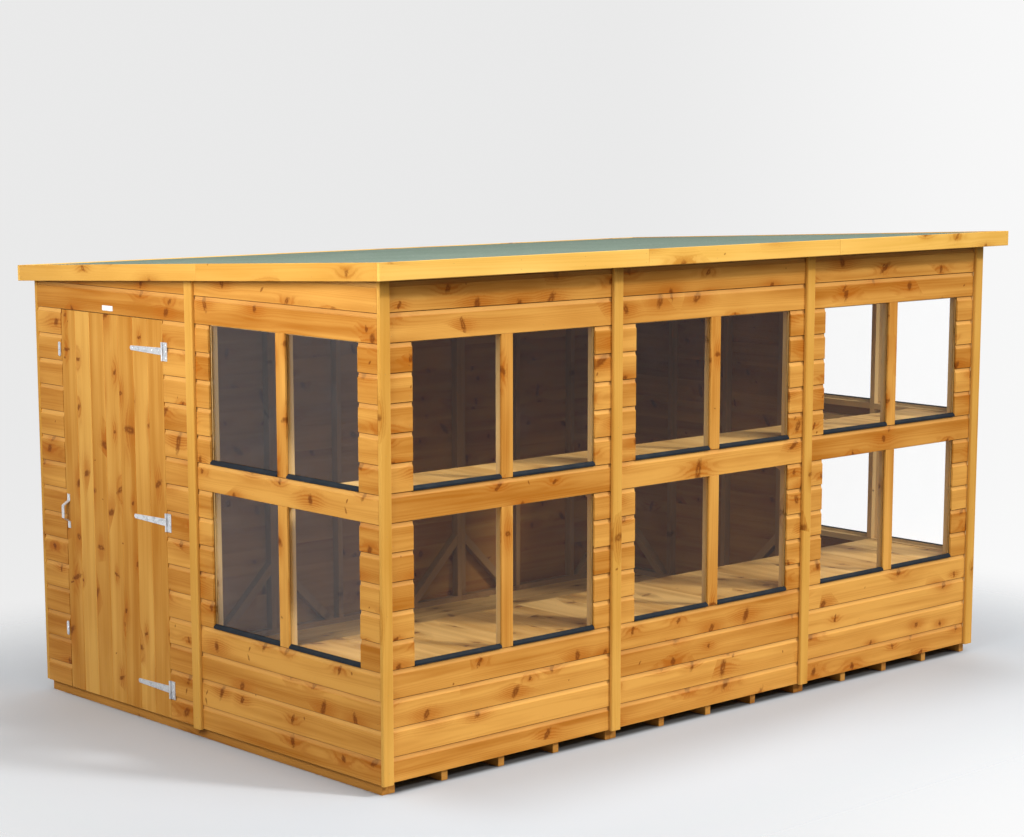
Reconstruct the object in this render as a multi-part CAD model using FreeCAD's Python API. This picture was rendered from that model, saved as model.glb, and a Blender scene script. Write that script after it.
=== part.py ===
import FreeCAD, Part
import math
import os

# A pent potting shed of modular panels, in millimetres.
# X runs along the glazed front, Y from the front to the back, Z up.
# The origin is on the ground, under the middle of the roof's outline.

# Panels and walls
panel_width = 1200.0
front_panel_count = 3
end_panel_count = 2
wall_front_height = 2032.0
roof_fall = 122.0

# Shiplap boards: a lip laps over the tongue of the board below, which slopes back to it
board_thickness = 12.0
board_cover = 114.0
first_course_height = 101.0
lip_thickness = 6.0
tongue_height = 8.0
weathering_height = 26.0

# Panel frames
stud_width = 28.0
frame_depth = 42.0
rail_height = 28.0
top_rail_height = 45.0
plain_bay_count = 3
brace_reach = 330.0
brace_width = 40.0
brace_angle = 45.0

# Windows: courses of boards below, beside and between them
course_count_below = 4
window_course_count = 5
course_count_between = 1
window_margin = 117.0
mullion_width = 60.0
glazing_lap = 8.0
pane_thickness = 3.0
bead_size = 12.0
sill_rise = 18.0
sill_projection = 3.0
sill_nose_height = 8.0
sill_top_width = 3.0
sill_end_gap = 1.0

# Door leaf
door_opening_width = 785.0
door_edge_gap = 3.0
door_face_gap = 0.5
door_stop_lap = 12.0
door_board_count = 7
door_board_thickness = 12.0
door_groove_chamfer = 3.0
door_tongue_length = 6.0
door_tongue_thickness = 4.0
ledge_height = 95.0
ledge_thickness = 20.0
ledge_end_gap = 8.0
door_brace_width = 90.0

# T-hinges
hinge_count = 3
hinge_low = 125.0
hinge_high = 129.0
strap_length = 240.0
strap_root_height = 31.0
strap_tip_height = 19.0
strap_tip_cut = 6.0
hinge_leaf_thickness = 2.5
hinge_plate_height = 78.0
hinge_plate_width = 34.0
knuckle_radius = 4.5
knuckle_gap = 0.4
knuckle_side_gap = 0.8
pin_radius = 2.5
pin_clearance = 0.05

# Pull handle and turn buttons
handle_length = 152.0
handle_low = 726.0
handle_edge_distance = 22.0
handle_width = 20.0
handle_metal = 2.5
handle_standoff = 33.0
handle_foot = 28.0
handle_arm_rise = 20.0
button_length = 63.0
button_width = 18.0
button_thickness = 3.0
button_corner_cut = 5.0
button_wall_gap = 1.0
button_jamb_gap = 2.5
button_low = 267.0
button_high = 175.0
button_screw_radius = 2.5
button_screw_head_width = 10.0
button_screw_head_height = 2.5
button_screw_side_count = 6
button_screw_play = 0.3

# Cover strips and corner strips
strip_thickness = 16.0
strip_width = 54.0
strip_edge_cut = 4.0
strip_drop = 5.0
edge_strip_width = 20.0

# Floor
joist_height = 60.0
joist_width = 32.0
joists_per_section = 5
floor_thickness = 12.0
floor_board_cover = 240.0
floor_board_gap = 1.0
floor_inset = 20.0
cladding_skirt = 24.0

# Potting bench along the glazed front
bench_top = 488.0
bench_depth = 546.0
bench_board_thickness = 12.0
bench_board_cover = 240.0
bench_board_gap = 2.0
bench_bearer_height = 45.0
bench_bearer_width = 28.0
bench_leg_width = 45.0

# Shelf over the bench, on battens at its ends and on brackets at the panel joints
shelf_top = 1172.0
shelf_depth = 300.0
bracket_drop = 180.0

# Roof
front_overhang = 105.0
end_overhang = 70.0
fascia_height = 69.0
fascia_thickness = 16.0
fascia_reveal = 2.0
fascia_joint_offset = 82.0
end_fascia_joint_offset = 140.0
sheet_thickness = 12.0
felt_thickness = 3.0
purlin_row_count = 3
purlin_height = 45.0
purlin_width = 28.0
beam_height = 70.0
beam_width = 45.0
batten_height = 45.0
batten_width = 20.0
back_fascia_gap = 4.0
strip_fascia_gap = 1.0

# Worked out from the sizes above
V = FreeCAD.Vector
wall_thickness = board_thickness + frame_depth
length = front_panel_count * panel_width + 2 * wall_thickness
depth = end_panel_count * panel_width
wall_back_height = wall_front_height - roof_fall
back_overhang = fascia_thickness + back_fascia_gap
roof_depth = depth + front_overhang + back_overhang
x_left = -length / 2
x_right = length / 2
y_front = front_overhang - roof_depth / 2
y_back = y_front + depth
roof_x_left = x_left - end_overhang + fascia_thickness
roof_x_right = x_right + end_overhang - fascia_thickness
roof_y_front = y_front - front_overhang + fascia_thickness
roof_y_back = y_back + back_overhang - fascia_thickness
roof_slope = roof_fall / depth
floor_top = joist_height + floor_thickness
cladding_bottom = floor_top - cladding_skirt
highest = wall_front_height + roof_slope * roof_depth
felt_top = sheet_thickness + felt_thickness
fascia_top = felt_top + fascia_reveal
fascia_bottom = fascia_top - fascia_height
rail_top = floor_top + rail_height
window_right = panel_width - window_margin
panel_middle = panel_width / 2
lower_sill_course = course_count_below
lower_head_course = lower_sill_course + window_course_count
upper_sill_course = lower_head_course + course_count_between
upper_head_course = upper_sill_course + window_course_count
door_left = (panel_width - door_opening_width) / 2
door_right = door_left + door_opening_width

# Each wall's panels are drawn seen from outside, from u = 0 at the left, with the outer face at depth 0.
WALLS = {
    "front": FreeCAD.Placement(V(x_left + wall_thickness, y_front, 0), FreeCAD.Rotation(V(0, 0, 1), 0)),
    "right": FreeCAD.Placement(V(x_right, y_front, 0), FreeCAD.Rotation(V(0, 0, 1), 90)),
    "back": FreeCAD.Placement(V(x_right - wall_thickness, y_back, 0), FreeCAD.Rotation(V(0, 0, 1), 180)),
    "left": FreeCAD.Placement(V(x_left, y_back, 0), FreeCAD.Rotation(V(0, 0, 1), -90)),
}


def course_bottom(index):
    """Height of the lower edge of a course of boards, counted from 0 at the bottom."""
    if index == 0:
        return cladding_bottom
    return cladding_bottom + first_course_height + (index - 1) * board_cover


# The door reaches up to the highest course that leaves room for its head rail and the panel's top rail
door_head_room = wall_back_height - top_rail_height - rail_height - course_bottom(1)
door_head_course = 1 + math.floor(door_head_room / board_cover)


def roof_under(y):
    """Height of the underside of the roof sheets at a place along the depth."""
    return wall_front_height - roof_slope * (y - y_front)


def save(node, solids):
    """Write the solids of one node."""
    Part.makeCompound(solids).exportStep("parts/" + node + ".step")


def box(u0, u1, d0, d1, z0, z1):
    """A squared timber between two corners."""
    return Part.makeBox(u1 - u0, d1 - d0, z1 - z0, V(u0, d0, z0))


def face_of(points):
    """A plane face inside a closed outline."""
    return Part.Face(Part.makePolygon(points + points[:1]))


def moulding(outline, u0, u1):
    """A timber with an outline of (depth, height) points, running along the wall."""
    return face_of([V(u0, d, z) for d, z in outline]).extrude(V(u1 - u0, 0, 0))


def panel_cutout(outline, d0, d1):
    """A plate with an outline of (along, height) points, between two depths."""
    return face_of([V(u, d0, z) for u, z in outline]).extrude(V(0, d1 - d0, 0))


def roof_slab(x0, x1, y0, y1, low, high):
    """A piece that follows the roof's slope, between two heights over the underside of the sheets."""
    corners = [(y0, low), (y1, low), (y1, high), (y0, high)]
    return face_of([V(x0, y, roof_under(y) + rise) for y, rise in corners]).extrude(V(x1 - x0, 0, 0))


def space_under_roof(drop):
    """Everything lower than a plane that lies a drop under the roof sheets."""
    return roof_slab(2 * x_left, 2 * x_right, 2 * y_front, 2 * y_back, -2 * highest, -drop)


UNDER_SHEETS = space_under_roof(0.0)
UNDER_TOP_RAIL = space_under_roof(top_rail_height)
UNDER_BATTENS = space_under_roof(batten_height)
UNDER_FASCIA = space_under_roof(strip_fascia_gap - fascia_bottom)


def placed(solid, wall, start):
    """A copy of a panel's piece, moved to its place in a wall."""
    moved = solid.copy()
    shift = FreeCAD.Placement(V(start, 0, 0), FreeCAD.Rotation())
    moved.Placement = WALLS[wall].multiply(shift).multiply(moved.Placement)
    return moved


def trimmed(solids, space):
    """The solids cut off at a sloping plane; what lies wholly over it falls away."""
    kept = []
    for solid in solids:
        if solid.BoundBox.ZMax <= wall_back_height - top_rail_height:
            kept.append(solid)
        else:
            kept.extend(solid.common(space).Solids)
    return kept


def shiplap(u0, u1, index):
    """One board of a course: lip below, weathering and tongue above. The lowest has a plain lower edge."""
    low = course_bottom(index)
    top = course_bottom(index + 1)
    tongue_top = top + tongue_height
    outline = [(0.0, low), (0.0, top - weathering_height), (lip_thickness, top)]
    outline += [(lip_thickness, tongue_top), (board_thickness, tongue_top)]
    if index == 0:
        outline.append((board_thickness, low))
    else:
        rebate_top = low + tongue_height
        outline += [(board_thickness, rebate_top), (lip_thickness, rebate_top), (lip_thickness, low)]
    return moulding(outline, u0, u1)


def cladding(gaps, start, end):
    """The boards of one panel. Each gap is its first course, the course over it, its left and its right."""
    boards = []
    index = 0
    while course_bottom(index) < wall_front_height:
        spans = [(start, end)]
        for first, over, left, right in gaps:
            if first <= index < over:
                spans = [(start, left), (right, end)]
        boards += [shiplap(u0, u1, index) for u0, u1 in spans]
        index += 1
    return boards


def stud(left, low):
    """An upright of a panel frame, longer than it needs to be; the wall's top rail trims it."""
    return box(left, left + stud_width, board_thickness, wall_thickness, low, highest)


def rail(u0, u1, low):
    """A level piece of a panel frame."""
    return box(u0, u1, board_thickness, wall_thickness, low, low + rail_height)


def frame_on_wall(uprights, rails, wall, start):
    """A panel frame in its place, with a top rail that follows the roof."""
    edge_studs = [stud(0.0, rail_top), stud(panel_width - stud_width, rail_top)]
    posts = [placed(piece, wall, start) for piece in edge_studs + uprights]
    level = [placed(piece, wall, start) for piece in [rail(0.0, panel_width, floor_top)] + rails]
    blank = placed(box(0.0, panel_width, board_thickness, wall_thickness, rail_top, highest), wall, start)
    top_rail = blank.common(UNDER_SHEETS).cut(UNDER_TOP_RAIL)
    return trimmed(posts, UNDER_TOP_RAIL) + level + top_rail.Solids


def save_cladding(name, gaps, wall, start):
    """Write the boards of one panel. At a back corner of the end walls they stop at the edge strip."""
    first = edge_strip_width if wall == "left" and start == 0.0 else 0.0
    last = panel_width
    if wall == "right" and start + panel_width == depth:
        last -= edge_strip_width
    boards = [placed(board, wall, start) for board in cladding(gaps, first, last)]
    save(name + "_cladding", trimmed(boards, UNDER_SHEETS))


def window_lights():
    """The four panes of a panel: left, right, sill course and head course of each."""
    lights = []
    for sill, head in ((lower_sill_course, lower_head_course), (upper_sill_course, upper_head_course)):
        lights.append((window_margin - glazing_lap, panel_middle - stud_width / 2, sill, head))
        lights.append((panel_middle + stud_width / 2, window_right + glazing_lap, sill, head))
    return lights


def pane(light):
    """A pane on its sill rail, behind the lap of the boards."""
    left, right, sill, head = light
    back = board_thickness + pane_thickness
    return box(left, right, board_thickness, back, course_bottom(sill), course_bottom(head) + glazing_lap)


def rectangle(left, right, low, top, depth_in):
    """Four corners of an upright rectangle at one depth."""
    return [V(left, depth_in, low), V(right, depth_in, low), V(right, depth_in, top), V(left, depth_in, top)]


def bead_frame(light):
    """A three-cornered bead, mitred round a pane, that holds it from inside."""
    left, right, sill, head = light
    front = board_thickness + pane_thickness
    low = course_bottom(sill)
    top = course_bottom(head) + glazing_lap
    outer = rectangle(left, right, low, top, front)
    edge = rectangle(left, right, low, top, front + bead_size)
    inner = rectangle(left + bead_size, right - bead_size, low + bead_size, top - bead_size, front)
    faces = []
    for one, other in ((outer, edge), (edge, inner), (inner, outer)):
        for i in range(len(one)):
            faces.append(face_of([one[i - 1], one[i], other[i], other[i - 1]]))
    return Part.makeSolid(Part.makeShell(faces)).removeSplitter()


def mullion(sill, head):
    """The board between the two panes, lapped at its ends like the boards beside it."""
    low = course_bottom(sill)
    top = course_bottom(head)
    outline = [(0.0, low), (lip_thickness, low), (lip_thickness, low + tongue_height)]
    outline += [(board_thickness, low + tongue_height), (board_thickness, top + tongue_height)]
    outline += [(lip_thickness, top + tongue_height), (lip_thickness, top), (0.0, top)]
    return moulding(outline, panel_middle - mullion_width / 2, panel_middle + mullion_width / 2)


def sill_strips(sill):
    """Two sloping strips that shed water from the panes over the tongue of the board below."""
    low = course_bottom(sill)
    outline = [(-sill_projection, low), (lip_thickness, low), (lip_thickness, low + tongue_height)]
    outline += [(board_thickness, low + tongue_height), (board_thickness, low + sill_rise)]
    outline.append((board_thickness - sill_top_width, low + sill_rise))
    outline.append((-sill_projection, low + sill_nose_height))
    inner = mullion_width / 2 + sill_end_gap
    outer = window_margin + sill_end_gap
    spans = [(outer, panel_middle - inner), (panel_middle + inner, panel_width - outer)]
    return [moulding(outline, u0, u1) for u0, u1 in spans]


def window_panel(name, wall, start):
    """Boards, frame, panes, mullions and sills of a glazed panel. Returns its bead frames."""
    openings = [(lower_sill_course, lower_head_course), (upper_sill_course, upper_head_course)]
    save_cladding(name, [(sill, head, window_margin, window_right) for sill, head in openings], wall, start)
    lights = window_lights()
    uprights = [stud(left, rail_top) for left in (window_margin - glazing_lap - stud_width,
                                                  panel_middle - stud_width / 2, window_right + glazing_lap)]
    rails = []
    for left, right, sill, head in lights:
        rails.append(rail(left, right, course_bottom(sill) - rail_height))
        rails.append(rail(left, right, course_bottom(head) + glazing_lap))
    save(name + "_frame", frame_on_wall(uprights, rails, wall, start))
    save(name + "_panes", [placed(pane(light), wall, start) for light in lights])
    save(name + "_mullions", [placed(mullion(sill, head), wall, start) for sill, head in openings])
    strips = [strip for sill, head in openings for strip in sill_strips(sill)]
    save(name + "_sills", [placed(strip, wall, start) for strip in strips])
    return [placed(bead_frame(light), wall, start) for light in lights]


def corner_brace(mirror):
    """A brace across a lower corner of a plain frame, from the bottom rail to the edge stud."""
    angle = math.radians(brace_angle)
    rise = brace_reach * math.tan(angle)
    inner = brace_reach - brace_width / math.sin(angle)
    inner_rise = rise - brace_width / math.cos(angle)
    outline = [(0.0, inner_rise), (0.0, rise), (brace_reach, 0.0), (inner, 0.0)]
    points = []
    for along, height in outline:
        u = stud_width + along
        points.append((panel_width - u if mirror else u, rail_top + height))
    return panel_cutout(points, board_thickness, wall_thickness)


def plain_panel(name, wall, start):
    """A panel of boards with no opening, on studs with braced lower corners."""
    save_cladding(name, [], wall, start)
    spacing = panel_width / plain_bay_count
    uprights = [stud(i * spacing - stud_width / 2, rail_top) for i in range(1, plain_bay_count)]
    save(name + "_frame", frame_on_wall(uprights, [corner_brace(False), corner_brace(True)], wall, start))


def door_panel(name, wall, start):
    """The boards and frame round the doorway. The posts stand into the doorway as stops for the leaf."""
    save_cladding(name, [(0, door_head_course, door_left, door_right)], wall, start)
    stop_left = door_left + door_stop_lap
    stop_right = door_right - door_stop_lap
    uprights = [stud(stop_left - stud_width, rail_top), stud(stop_right, rail_top)]
    head = rail(stop_left, stop_right, course_bottom(door_head_course) - door_stop_lap)
    save(name + "_frame", frame_on_wall(uprights, [head], wall, start))


# Door leaf, in the door panel's own place
hinge_u = door_right
hinge_d = -door_face_gap - knuckle_radius
leaf_left = door_left + door_edge_gap
leaf_right = door_right - door_edge_gap
leaf_face = -door_face_gap
leaf_back = leaf_face + door_board_thickness
leaf_top = course_bottom(door_head_course) - door_edge_gap
lowest_hinge = cladding_bottom + hinge_low
hinge_spacing = (leaf_top - hinge_high - lowest_hinge) / (hinge_count - 1)
hinge_heights = [lowest_hinge + i * hinge_spacing for i in range(hinge_count)]


def door_board(index):
    """An upright board of the leaf, with chamfered face edges, a tongue and a groove."""
    pitch = (leaf_right - leaf_left) / door_board_count
    left = leaf_left + index * pitch
    right = left + pitch
    near = leaf_face + (door_board_thickness - door_tongue_thickness) / 2
    far = near + door_tongue_thickness
    chamfer = leaf_face + door_groove_chamfer
    outline = [(left + door_groove_chamfer, leaf_face), (right - door_groove_chamfer, leaf_face)]
    outline.append((right, chamfer))
    if index < door_board_count - 1:
        tip = right + door_tongue_length
        outline += [(right, near), (tip, near), (tip, far), (right, far)]
    outline += [(right, leaf_back), (left, leaf_back)]
    if index > 0:
        inner = left + door_tongue_length
        outline += [(left, far), (inner, far), (inner, near), (left, near)]
    outline.append((left, chamfer))
    section = face_of([V(u, d, cladding_bottom) for u, d in outline])
    return section.extrude(V(0, 0, leaf_top - cladding_bottom))


def door_ledges():
    """Three ledges behind the boards, and two braces that rise from the hinge side."""
    left = door_left + door_stop_lap + ledge_end_gap
    right = door_right - door_stop_lap - ledge_end_gap
    back = leaf_back + ledge_thickness
    half = ledge_height / 2
    pieces = [box(left, right, leaf_back, back, z - half, z + half) for z in hinge_heights]
    for low, high in zip(hinge_heights, hinge_heights[1:]):
        foot = low + half
        head = high - half
        outline = [(right, foot), (left + door_brace_width, head)]
        outline += [(left, head), (right - door_brace_width, foot)]
        pieces.append(panel_cutout(outline, leaf_back, back))
    return pieces


def knuckle(low, top, radius):
    """A round stretch on the hinge's axis."""
    return Part.makeCylinder(radius, top - low, V(hinge_u, hinge_d, low))


def hinge_strap(z):
    """A tapered strap with a clipped tip, and the middle knuckle with its bore."""
    tip = hinge_u - strap_length
    root = strap_root_height / 2
    end = strap_tip_height / 2
    upper = [(tip, end - strap_tip_cut), (tip + strap_tip_cut, end), (hinge_u, root)]
    outline = upper + [(u, -rise) for u, rise in reversed(upper)]
    leaf = panel_cutout([(u, z + rise) for u, rise in outline], leaf_face - hinge_leaf_thickness, leaf_face)
    barrel = knuckle(z - root, z + root, knuckle_radius)
    bore = knuckle(z - root, z + root, pin_radius + pin_clearance)
    return leaf.fuse(barrel).cut(bore).removeSplitter()


def hinge_plate(z):
    """The plate on the jamb. The pin's ends are riveted into its two knuckles, which are solid here."""
    half = hinge_plate_height / 2
    root = strap_root_height / 2 + knuckle_gap
    clear = hinge_u + knuckle_radius + knuckle_side_gap
    plate = box(clear, hinge_u + hinge_plate_width, -hinge_leaf_thickness, 0.0, z - half, z + half)
    for low, top in ((z - half, z - root), (z + root, z + half)):
        tab = box(hinge_u, clear, -hinge_leaf_thickness, 0.0, low, top)
        plate = plate.fuse(tab).fuse(knuckle(low, top, knuckle_radius))
    return plate.removeSplitter()


def hinge_pin(z):
    """The pin from knuckle to knuckle, through the strap."""
    root = strap_root_height / 2 + knuckle_gap
    return knuckle(z - root, z + root, pin_radius)


def pull_handle():
    """A bow of bent strip: two feet on the leaf, two arms and the grip."""
    low = cladding_bottom + handle_low
    top = low + handle_length
    outer = leaf_face - handle_standoff
    skin = leaf_face - handle_metal
    slant = handle_metal * math.hypot(handle_arm_rise, handle_standoff) / handle_standoff
    bend = handle_foot + handle_arm_rise
    outside = [(leaf_face, low), (skin, low), (skin, low + handle_foot), (outer, low + bend)]
    outside += [(outer, top - bend), (skin, top - handle_foot), (skin, top), (leaf_face, top)]
    inner = outer + handle_metal
    inside = [(leaf_face, top - handle_foot - slant), (inner, top - bend - slant / 2)]
    inside += [(inner, low + bend + slant / 2), (leaf_face, low + handle_foot + slant)]
    left = leaf_left + handle_edge_distance - handle_width / 2
    return moulding(outside + inside, left, left + handle_width)


button_u = door_left - button_jamb_gap - button_width / 2
button_back = -button_wall_gap
button_front = button_back - button_thickness


def turn_button(z):
    """A flat button with clipped corners that turns on its screw."""
    half = button_width / 2
    reach = button_length / 2
    cut = button_corner_cut
    quarter = [(half, reach - cut), (half - cut, reach)]
    outline = quarter + [(-u, rise) for u, rise in reversed(quarter)]
    outline += [(-u, -rise) for u, rise in outline]
    plate = panel_cutout([(button_u + u, z + rise) for u, rise in outline], button_front, button_back)
    start = V(button_u, button_front, z)
    bore = Part.makeCylinder(button_screw_radius + pin_clearance, button_thickness, start, V(0, 1, 0))
    return plate.cut(bore)


def button_screw(z):
    """The coach screw that a turn button turns on: a round shank out of the jamb, and a six-sided head."""
    shoulder = button_front - button_screw_play
    shank = Part.makeCylinder(button_screw_radius, -shoulder, V(button_u, shoulder, z), V(0, 1, 0))
    turn = math.tau / button_screw_side_count
    reach = button_screw_head_width / 2 / math.cos(turn / 2)
    corners = []
    for i in range(button_screw_side_count):
        corners.append((button_u + reach * math.cos(i * turn), z + reach * math.sin(i * turn)))
    return shank.fuse(panel_cutout(corners, shoulder - button_screw_head_height, shoulder))


def save_door(wall, start):
    """The leaf with its ironwork, and what carries it on the jamb."""
    boards = [door_board(index) for index in range(door_board_count)]
    save("door_boards", [placed(board, wall, start) for board in boards])
    save("door_ledges", [placed(piece, wall, start) for piece in door_ledges()])
    save("door_handle", [placed(pull_handle(), wall, start)])
    save("hinge_straps", [placed(hinge_strap(z), wall, start) for z in hinge_heights])
    save("hinge_plates", [placed(hinge_plate(z), wall, start) for z in hinge_heights])
    save("hinge_pins", [placed(hinge_pin(z), wall, start) for z in hinge_heights])
    heights = [cladding_bottom + button_low, leaf_top - button_high]
    for name, z in zip(("turn_button_lower", "turn_button_upper"), heights):
        save(name, [placed(turn_button(z), wall, start)])
    save("turn_button_screws", [placed(button_screw(z), wall, start) for z in heights])


def cover_strip(left):
    """An upright strip with eased face edges, over a joint; what it runs up to trims it."""
    low = cladding_bottom - strip_drop
    right = left + strip_width
    face = -strip_thickness
    outline = [(left, 0.0), (left, face + strip_edge_cut), (left + strip_edge_cut, face)]
    outline += [(right - strip_edge_cut, face), (right, face + strip_edge_cut), (right, 0.0)]
    return face_of([V(u, d, low) for u, d in outline]).extrude(V(0, 0, highest - low))


def save_strips():
    """Strips over the panel joints, at the front corners and along the back edges of the end walls."""
    joints = []
    for wall, count in (("front", front_panel_count), ("right", end_panel_count), ("left", end_panel_count)):
        for i in range(1, count):
            joints.append(placed(cover_strip(i * panel_width - strip_width / 2), wall, 0.0))
    back_joints = []
    for i in range(1, front_panel_count):
        back_joints.append(placed(cover_strip(i * panel_width - strip_width / 2), "back", 0.0))
    corners = []
    for left in (-strip_width, front_panel_count * panel_width):
        corners.append(placed(cover_strip(left), "front", 0.0))
    edges = []
    for wall, left in (("right", depth - edge_strip_width), ("left", 0.0)):
        strip = box(left, left + edge_strip_width, 0.0, board_thickness, cladding_bottom, highest)
        edges.append(placed(strip, wall, 0.0))
    save("joint_strips", trimmed(joints, UNDER_BATTENS) + trimmed(back_joints, UNDER_FASCIA))
    save("corner_strips", trimmed(corners, UNDER_BATTENS) + trimmed(edges, UNDER_SHEETS))


def save_floor():
    """Joists from front to back, doubled at the door's end, and boards on them in panel-wide sections."""
    joints = [x_left + wall_thickness + i * panel_width for i in range(1, front_panel_count)]
    stops_x = [x_left + floor_inset] + joints + [x_right - floor_inset]
    floor_front = y_front + floor_inset
    floor_back = y_back - floor_inset
    second = stops_x[0] + joist_width
    joists = [box(second, second + joist_width, floor_front, floor_back, 0.0, joist_height)]
    boards = []
    for x0, x1 in zip(stops_x, stops_x[1:]):
        spacing = (x1 - x0 - joist_width) / (joists_per_section - 1)
        for i in range(joists_per_section):
            x = x0 + i * spacing
            joists.append(box(x, x + joist_width, floor_front, floor_back, 0.0, joist_height))
        y = floor_front
        while y < floor_back:
            far = min(y + floor_board_cover - floor_board_gap, floor_back)
            boards.append(box(x0, x1, y, far, joist_height, floor_top))
            y += floor_board_cover
    save("floor_joists", joists)
    save("floor_boards", boards)


def lengths(start, end, count):
    """Ends of equal lengths that make up a run."""
    step = (end - start) / count
    return [(start + i * step, start + (i + 1) * step) for i in range(count)]


def bench_run(depth_in, top):
    """Boards from front to back, side by side along the inside of the front wall."""
    left = x_left + wall_thickness
    right = x_right - wall_thickness
    front = y_front + wall_thickness
    low = top - bench_board_thickness
    boards = []
    for x0, x1 in lengths(left, right, round((right - left) / bench_board_cover)):
        boards.append(box(x0, x1 - bench_board_gap, front, front + depth_in, low, top))
    return boards


def bench_bearers():
    """Two bearers along the bench, and legs under the inner one."""
    left = x_left + wall_thickness
    right = x_right - wall_thickness
    front = y_front + wall_thickness
    back = front + bench_depth
    top = bench_top - bench_board_thickness
    low = top - bench_bearer_height
    pieces = []
    for x0, x1 in lengths(left, right, front_panel_count):
        for y in (front, back - bench_bearer_width):
            pieces.append(box(x0, x1, y, y + bench_bearer_width, low, top))
    legs = [left + i * panel_width - bench_leg_width / 2 for i in range(1, front_panel_count)]
    for x in [left] + legs + [right - bench_leg_width]:
        pieces.append(box(x, x + bench_leg_width, back - bench_bearer_width, back, floor_top, low))
    return pieces


def shelf_bearers():
    """End battens and brackets under the shelf, with two bearers between them."""
    left = x_left + wall_thickness
    right = x_right - wall_thickness
    front = y_front + wall_thickness
    back = front + shelf_depth
    top = shelf_top - bench_board_thickness
    low = top - bench_bearer_height
    foot = top - bracket_drop
    thick = bench_bearer_width
    pieces = [box(x, x + thick, front, back, low, top) for x in (left, right - thick)]
    joints = [left + i * panel_width - thick / 2 for i in range(1, front_panel_count)]
    outline = [(front, foot), (front + thick, foot), (back, low), (back, top), (front, top)]
    for x in joints:
        pieces.append(face_of([V(x, y, z) for y, z in outline]).extrude(V(thick, 0, 0)))
    stops = [left] + joints + [right - thick]
    for x0, x1 in zip(stops, stops[1:]):
        for y in (front, back - thick):
            pieces.append(box(x0 + thick, x1, y, y + thick, low, top))
    return pieces


def save_roof():
    """Sheets on the walls, purlins on two beams, battens behind three fascias, felt and fascias."""
    runs_x = lengths(roof_x_left, roof_x_right, front_panel_count)
    runs_y = lengths(roof_y_front, roof_y_back, end_panel_count)
    sheets = []
    for x0, x1 in runs_x:
        for y0, y1 in runs_y:
            sheets.append(roof_slab(x0, x1, y0, y1, 0.0, sheet_thickness))
    save("roof_sheets", sheets)
    felt = roof_slab(roof_x_left, roof_x_right, roof_y_front, roof_y_back, sheet_thickness, felt_top)
    save("roof_felt", [felt])

    inside_left = x_left + wall_thickness
    inside_right = x_right - wall_thickness
    inside_front = y_front + wall_thickness
    inside_back = y_back - wall_thickness
    row_spacing = (inside_back - inside_front) / (purlin_row_count + 1)
    purlins = []
    for row in range(1, purlin_row_count + 1):
        y = inside_front + row * row_spacing - purlin_width / 2
        purlins.append(roof_slab(inside_left, inside_right, y, y + purlin_width, -purlin_height, 0.0))
    save("roof_purlins", purlins)
    beams = []
    for i in range(1, front_panel_count):
        x = inside_left + i * panel_width - beam_width / 2
        low = -purlin_height - beam_height
        beams.append(roof_slab(x, x + beam_width, inside_front, inside_back, low, -purlin_height))
    save("roof_beams", beams)
    front_line = roof_y_front + batten_width
    battens = [roof_slab(roof_x_left, roof_x_right, roof_y_front, front_line, -batten_height, 0.0)]
    for x in (roof_x_left, roof_x_right - batten_width):
        battens.append(roof_slab(x, x + batten_width, front_line, roof_y_back, -batten_height, 0.0))
    save("roof_battens", battens)

    joints = [inside_left + i * panel_width + fascia_joint_offset for i in range(1, front_panel_count)]
    stops_x = [x_left - end_overhang] + joints + [x_right + end_overhang]
    joints = [y_front + i * panel_width - end_fascia_joint_offset for i in range(1, end_panel_count)]
    stops_y = [roof_y_front] + joints + [roof_y_back]
    for name, y in (("fascia_front", roof_y_front - fascia_thickness), ("fascia_back", roof_y_back)):
        spans = zip(stops_x, stops_x[1:])
        edge = y + fascia_thickness
        save(name, [roof_slab(x0, x1, y, edge, fascia_bottom, fascia_top) for x0, x1 in spans])
    for name, x in (("fascia_left", roof_x_left - fascia_thickness), ("fascia_right", roof_x_right)):
        spans = zip(stops_y, stops_y[1:])
        edge = x + fascia_thickness
        save(name, [roof_slab(x, edge, y0, y1, fascia_bottom, fascia_top) for y0, y1 in spans])


def main():
    """Build and write every node."""
    os.makedirs("parts", exist_ok=True)
    save_floor()
    save("bench_boards", bench_run(bench_depth, bench_top) + bench_run(shelf_depth, shelf_top))
    save("bench_bearers", bench_bearers() + shelf_bearers())
    bead_frames = []
    for i, place in enumerate(("left", "middle", "right")):
        bead_frames += window_panel("front_" + place, "front", i * panel_width)
    bead_frames += window_panel("right_end_window", "right", 0.0)
    bead_frames += window_panel("left_end_window", "left", panel_width)
    save("glazing_beads", bead_frames)
    plain_panel("right_end_plain", "right", panel_width)
    for i, place in enumerate(("right", "middle", "left")):
        plain_panel("back_" + place, "back", i * panel_width)
    door_panel("door_panel", "left", 0.0)
    save_door("left", 0.0)
    save_strips()
    save_roof()


main()
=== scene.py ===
"""The finished look of a pent potting shed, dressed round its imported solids."""

import logging
import math
from dataclasses import dataclass, replace
from enum import Enum
from typing import Any, Iterable, Sequence, Union

import bmesh
import bpy
import numpy as np
from bpy.types import ID, Material, Mesh, Node, NodeSocket, NodeTree, Object
from mathutils import Matrix, Vector


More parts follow.
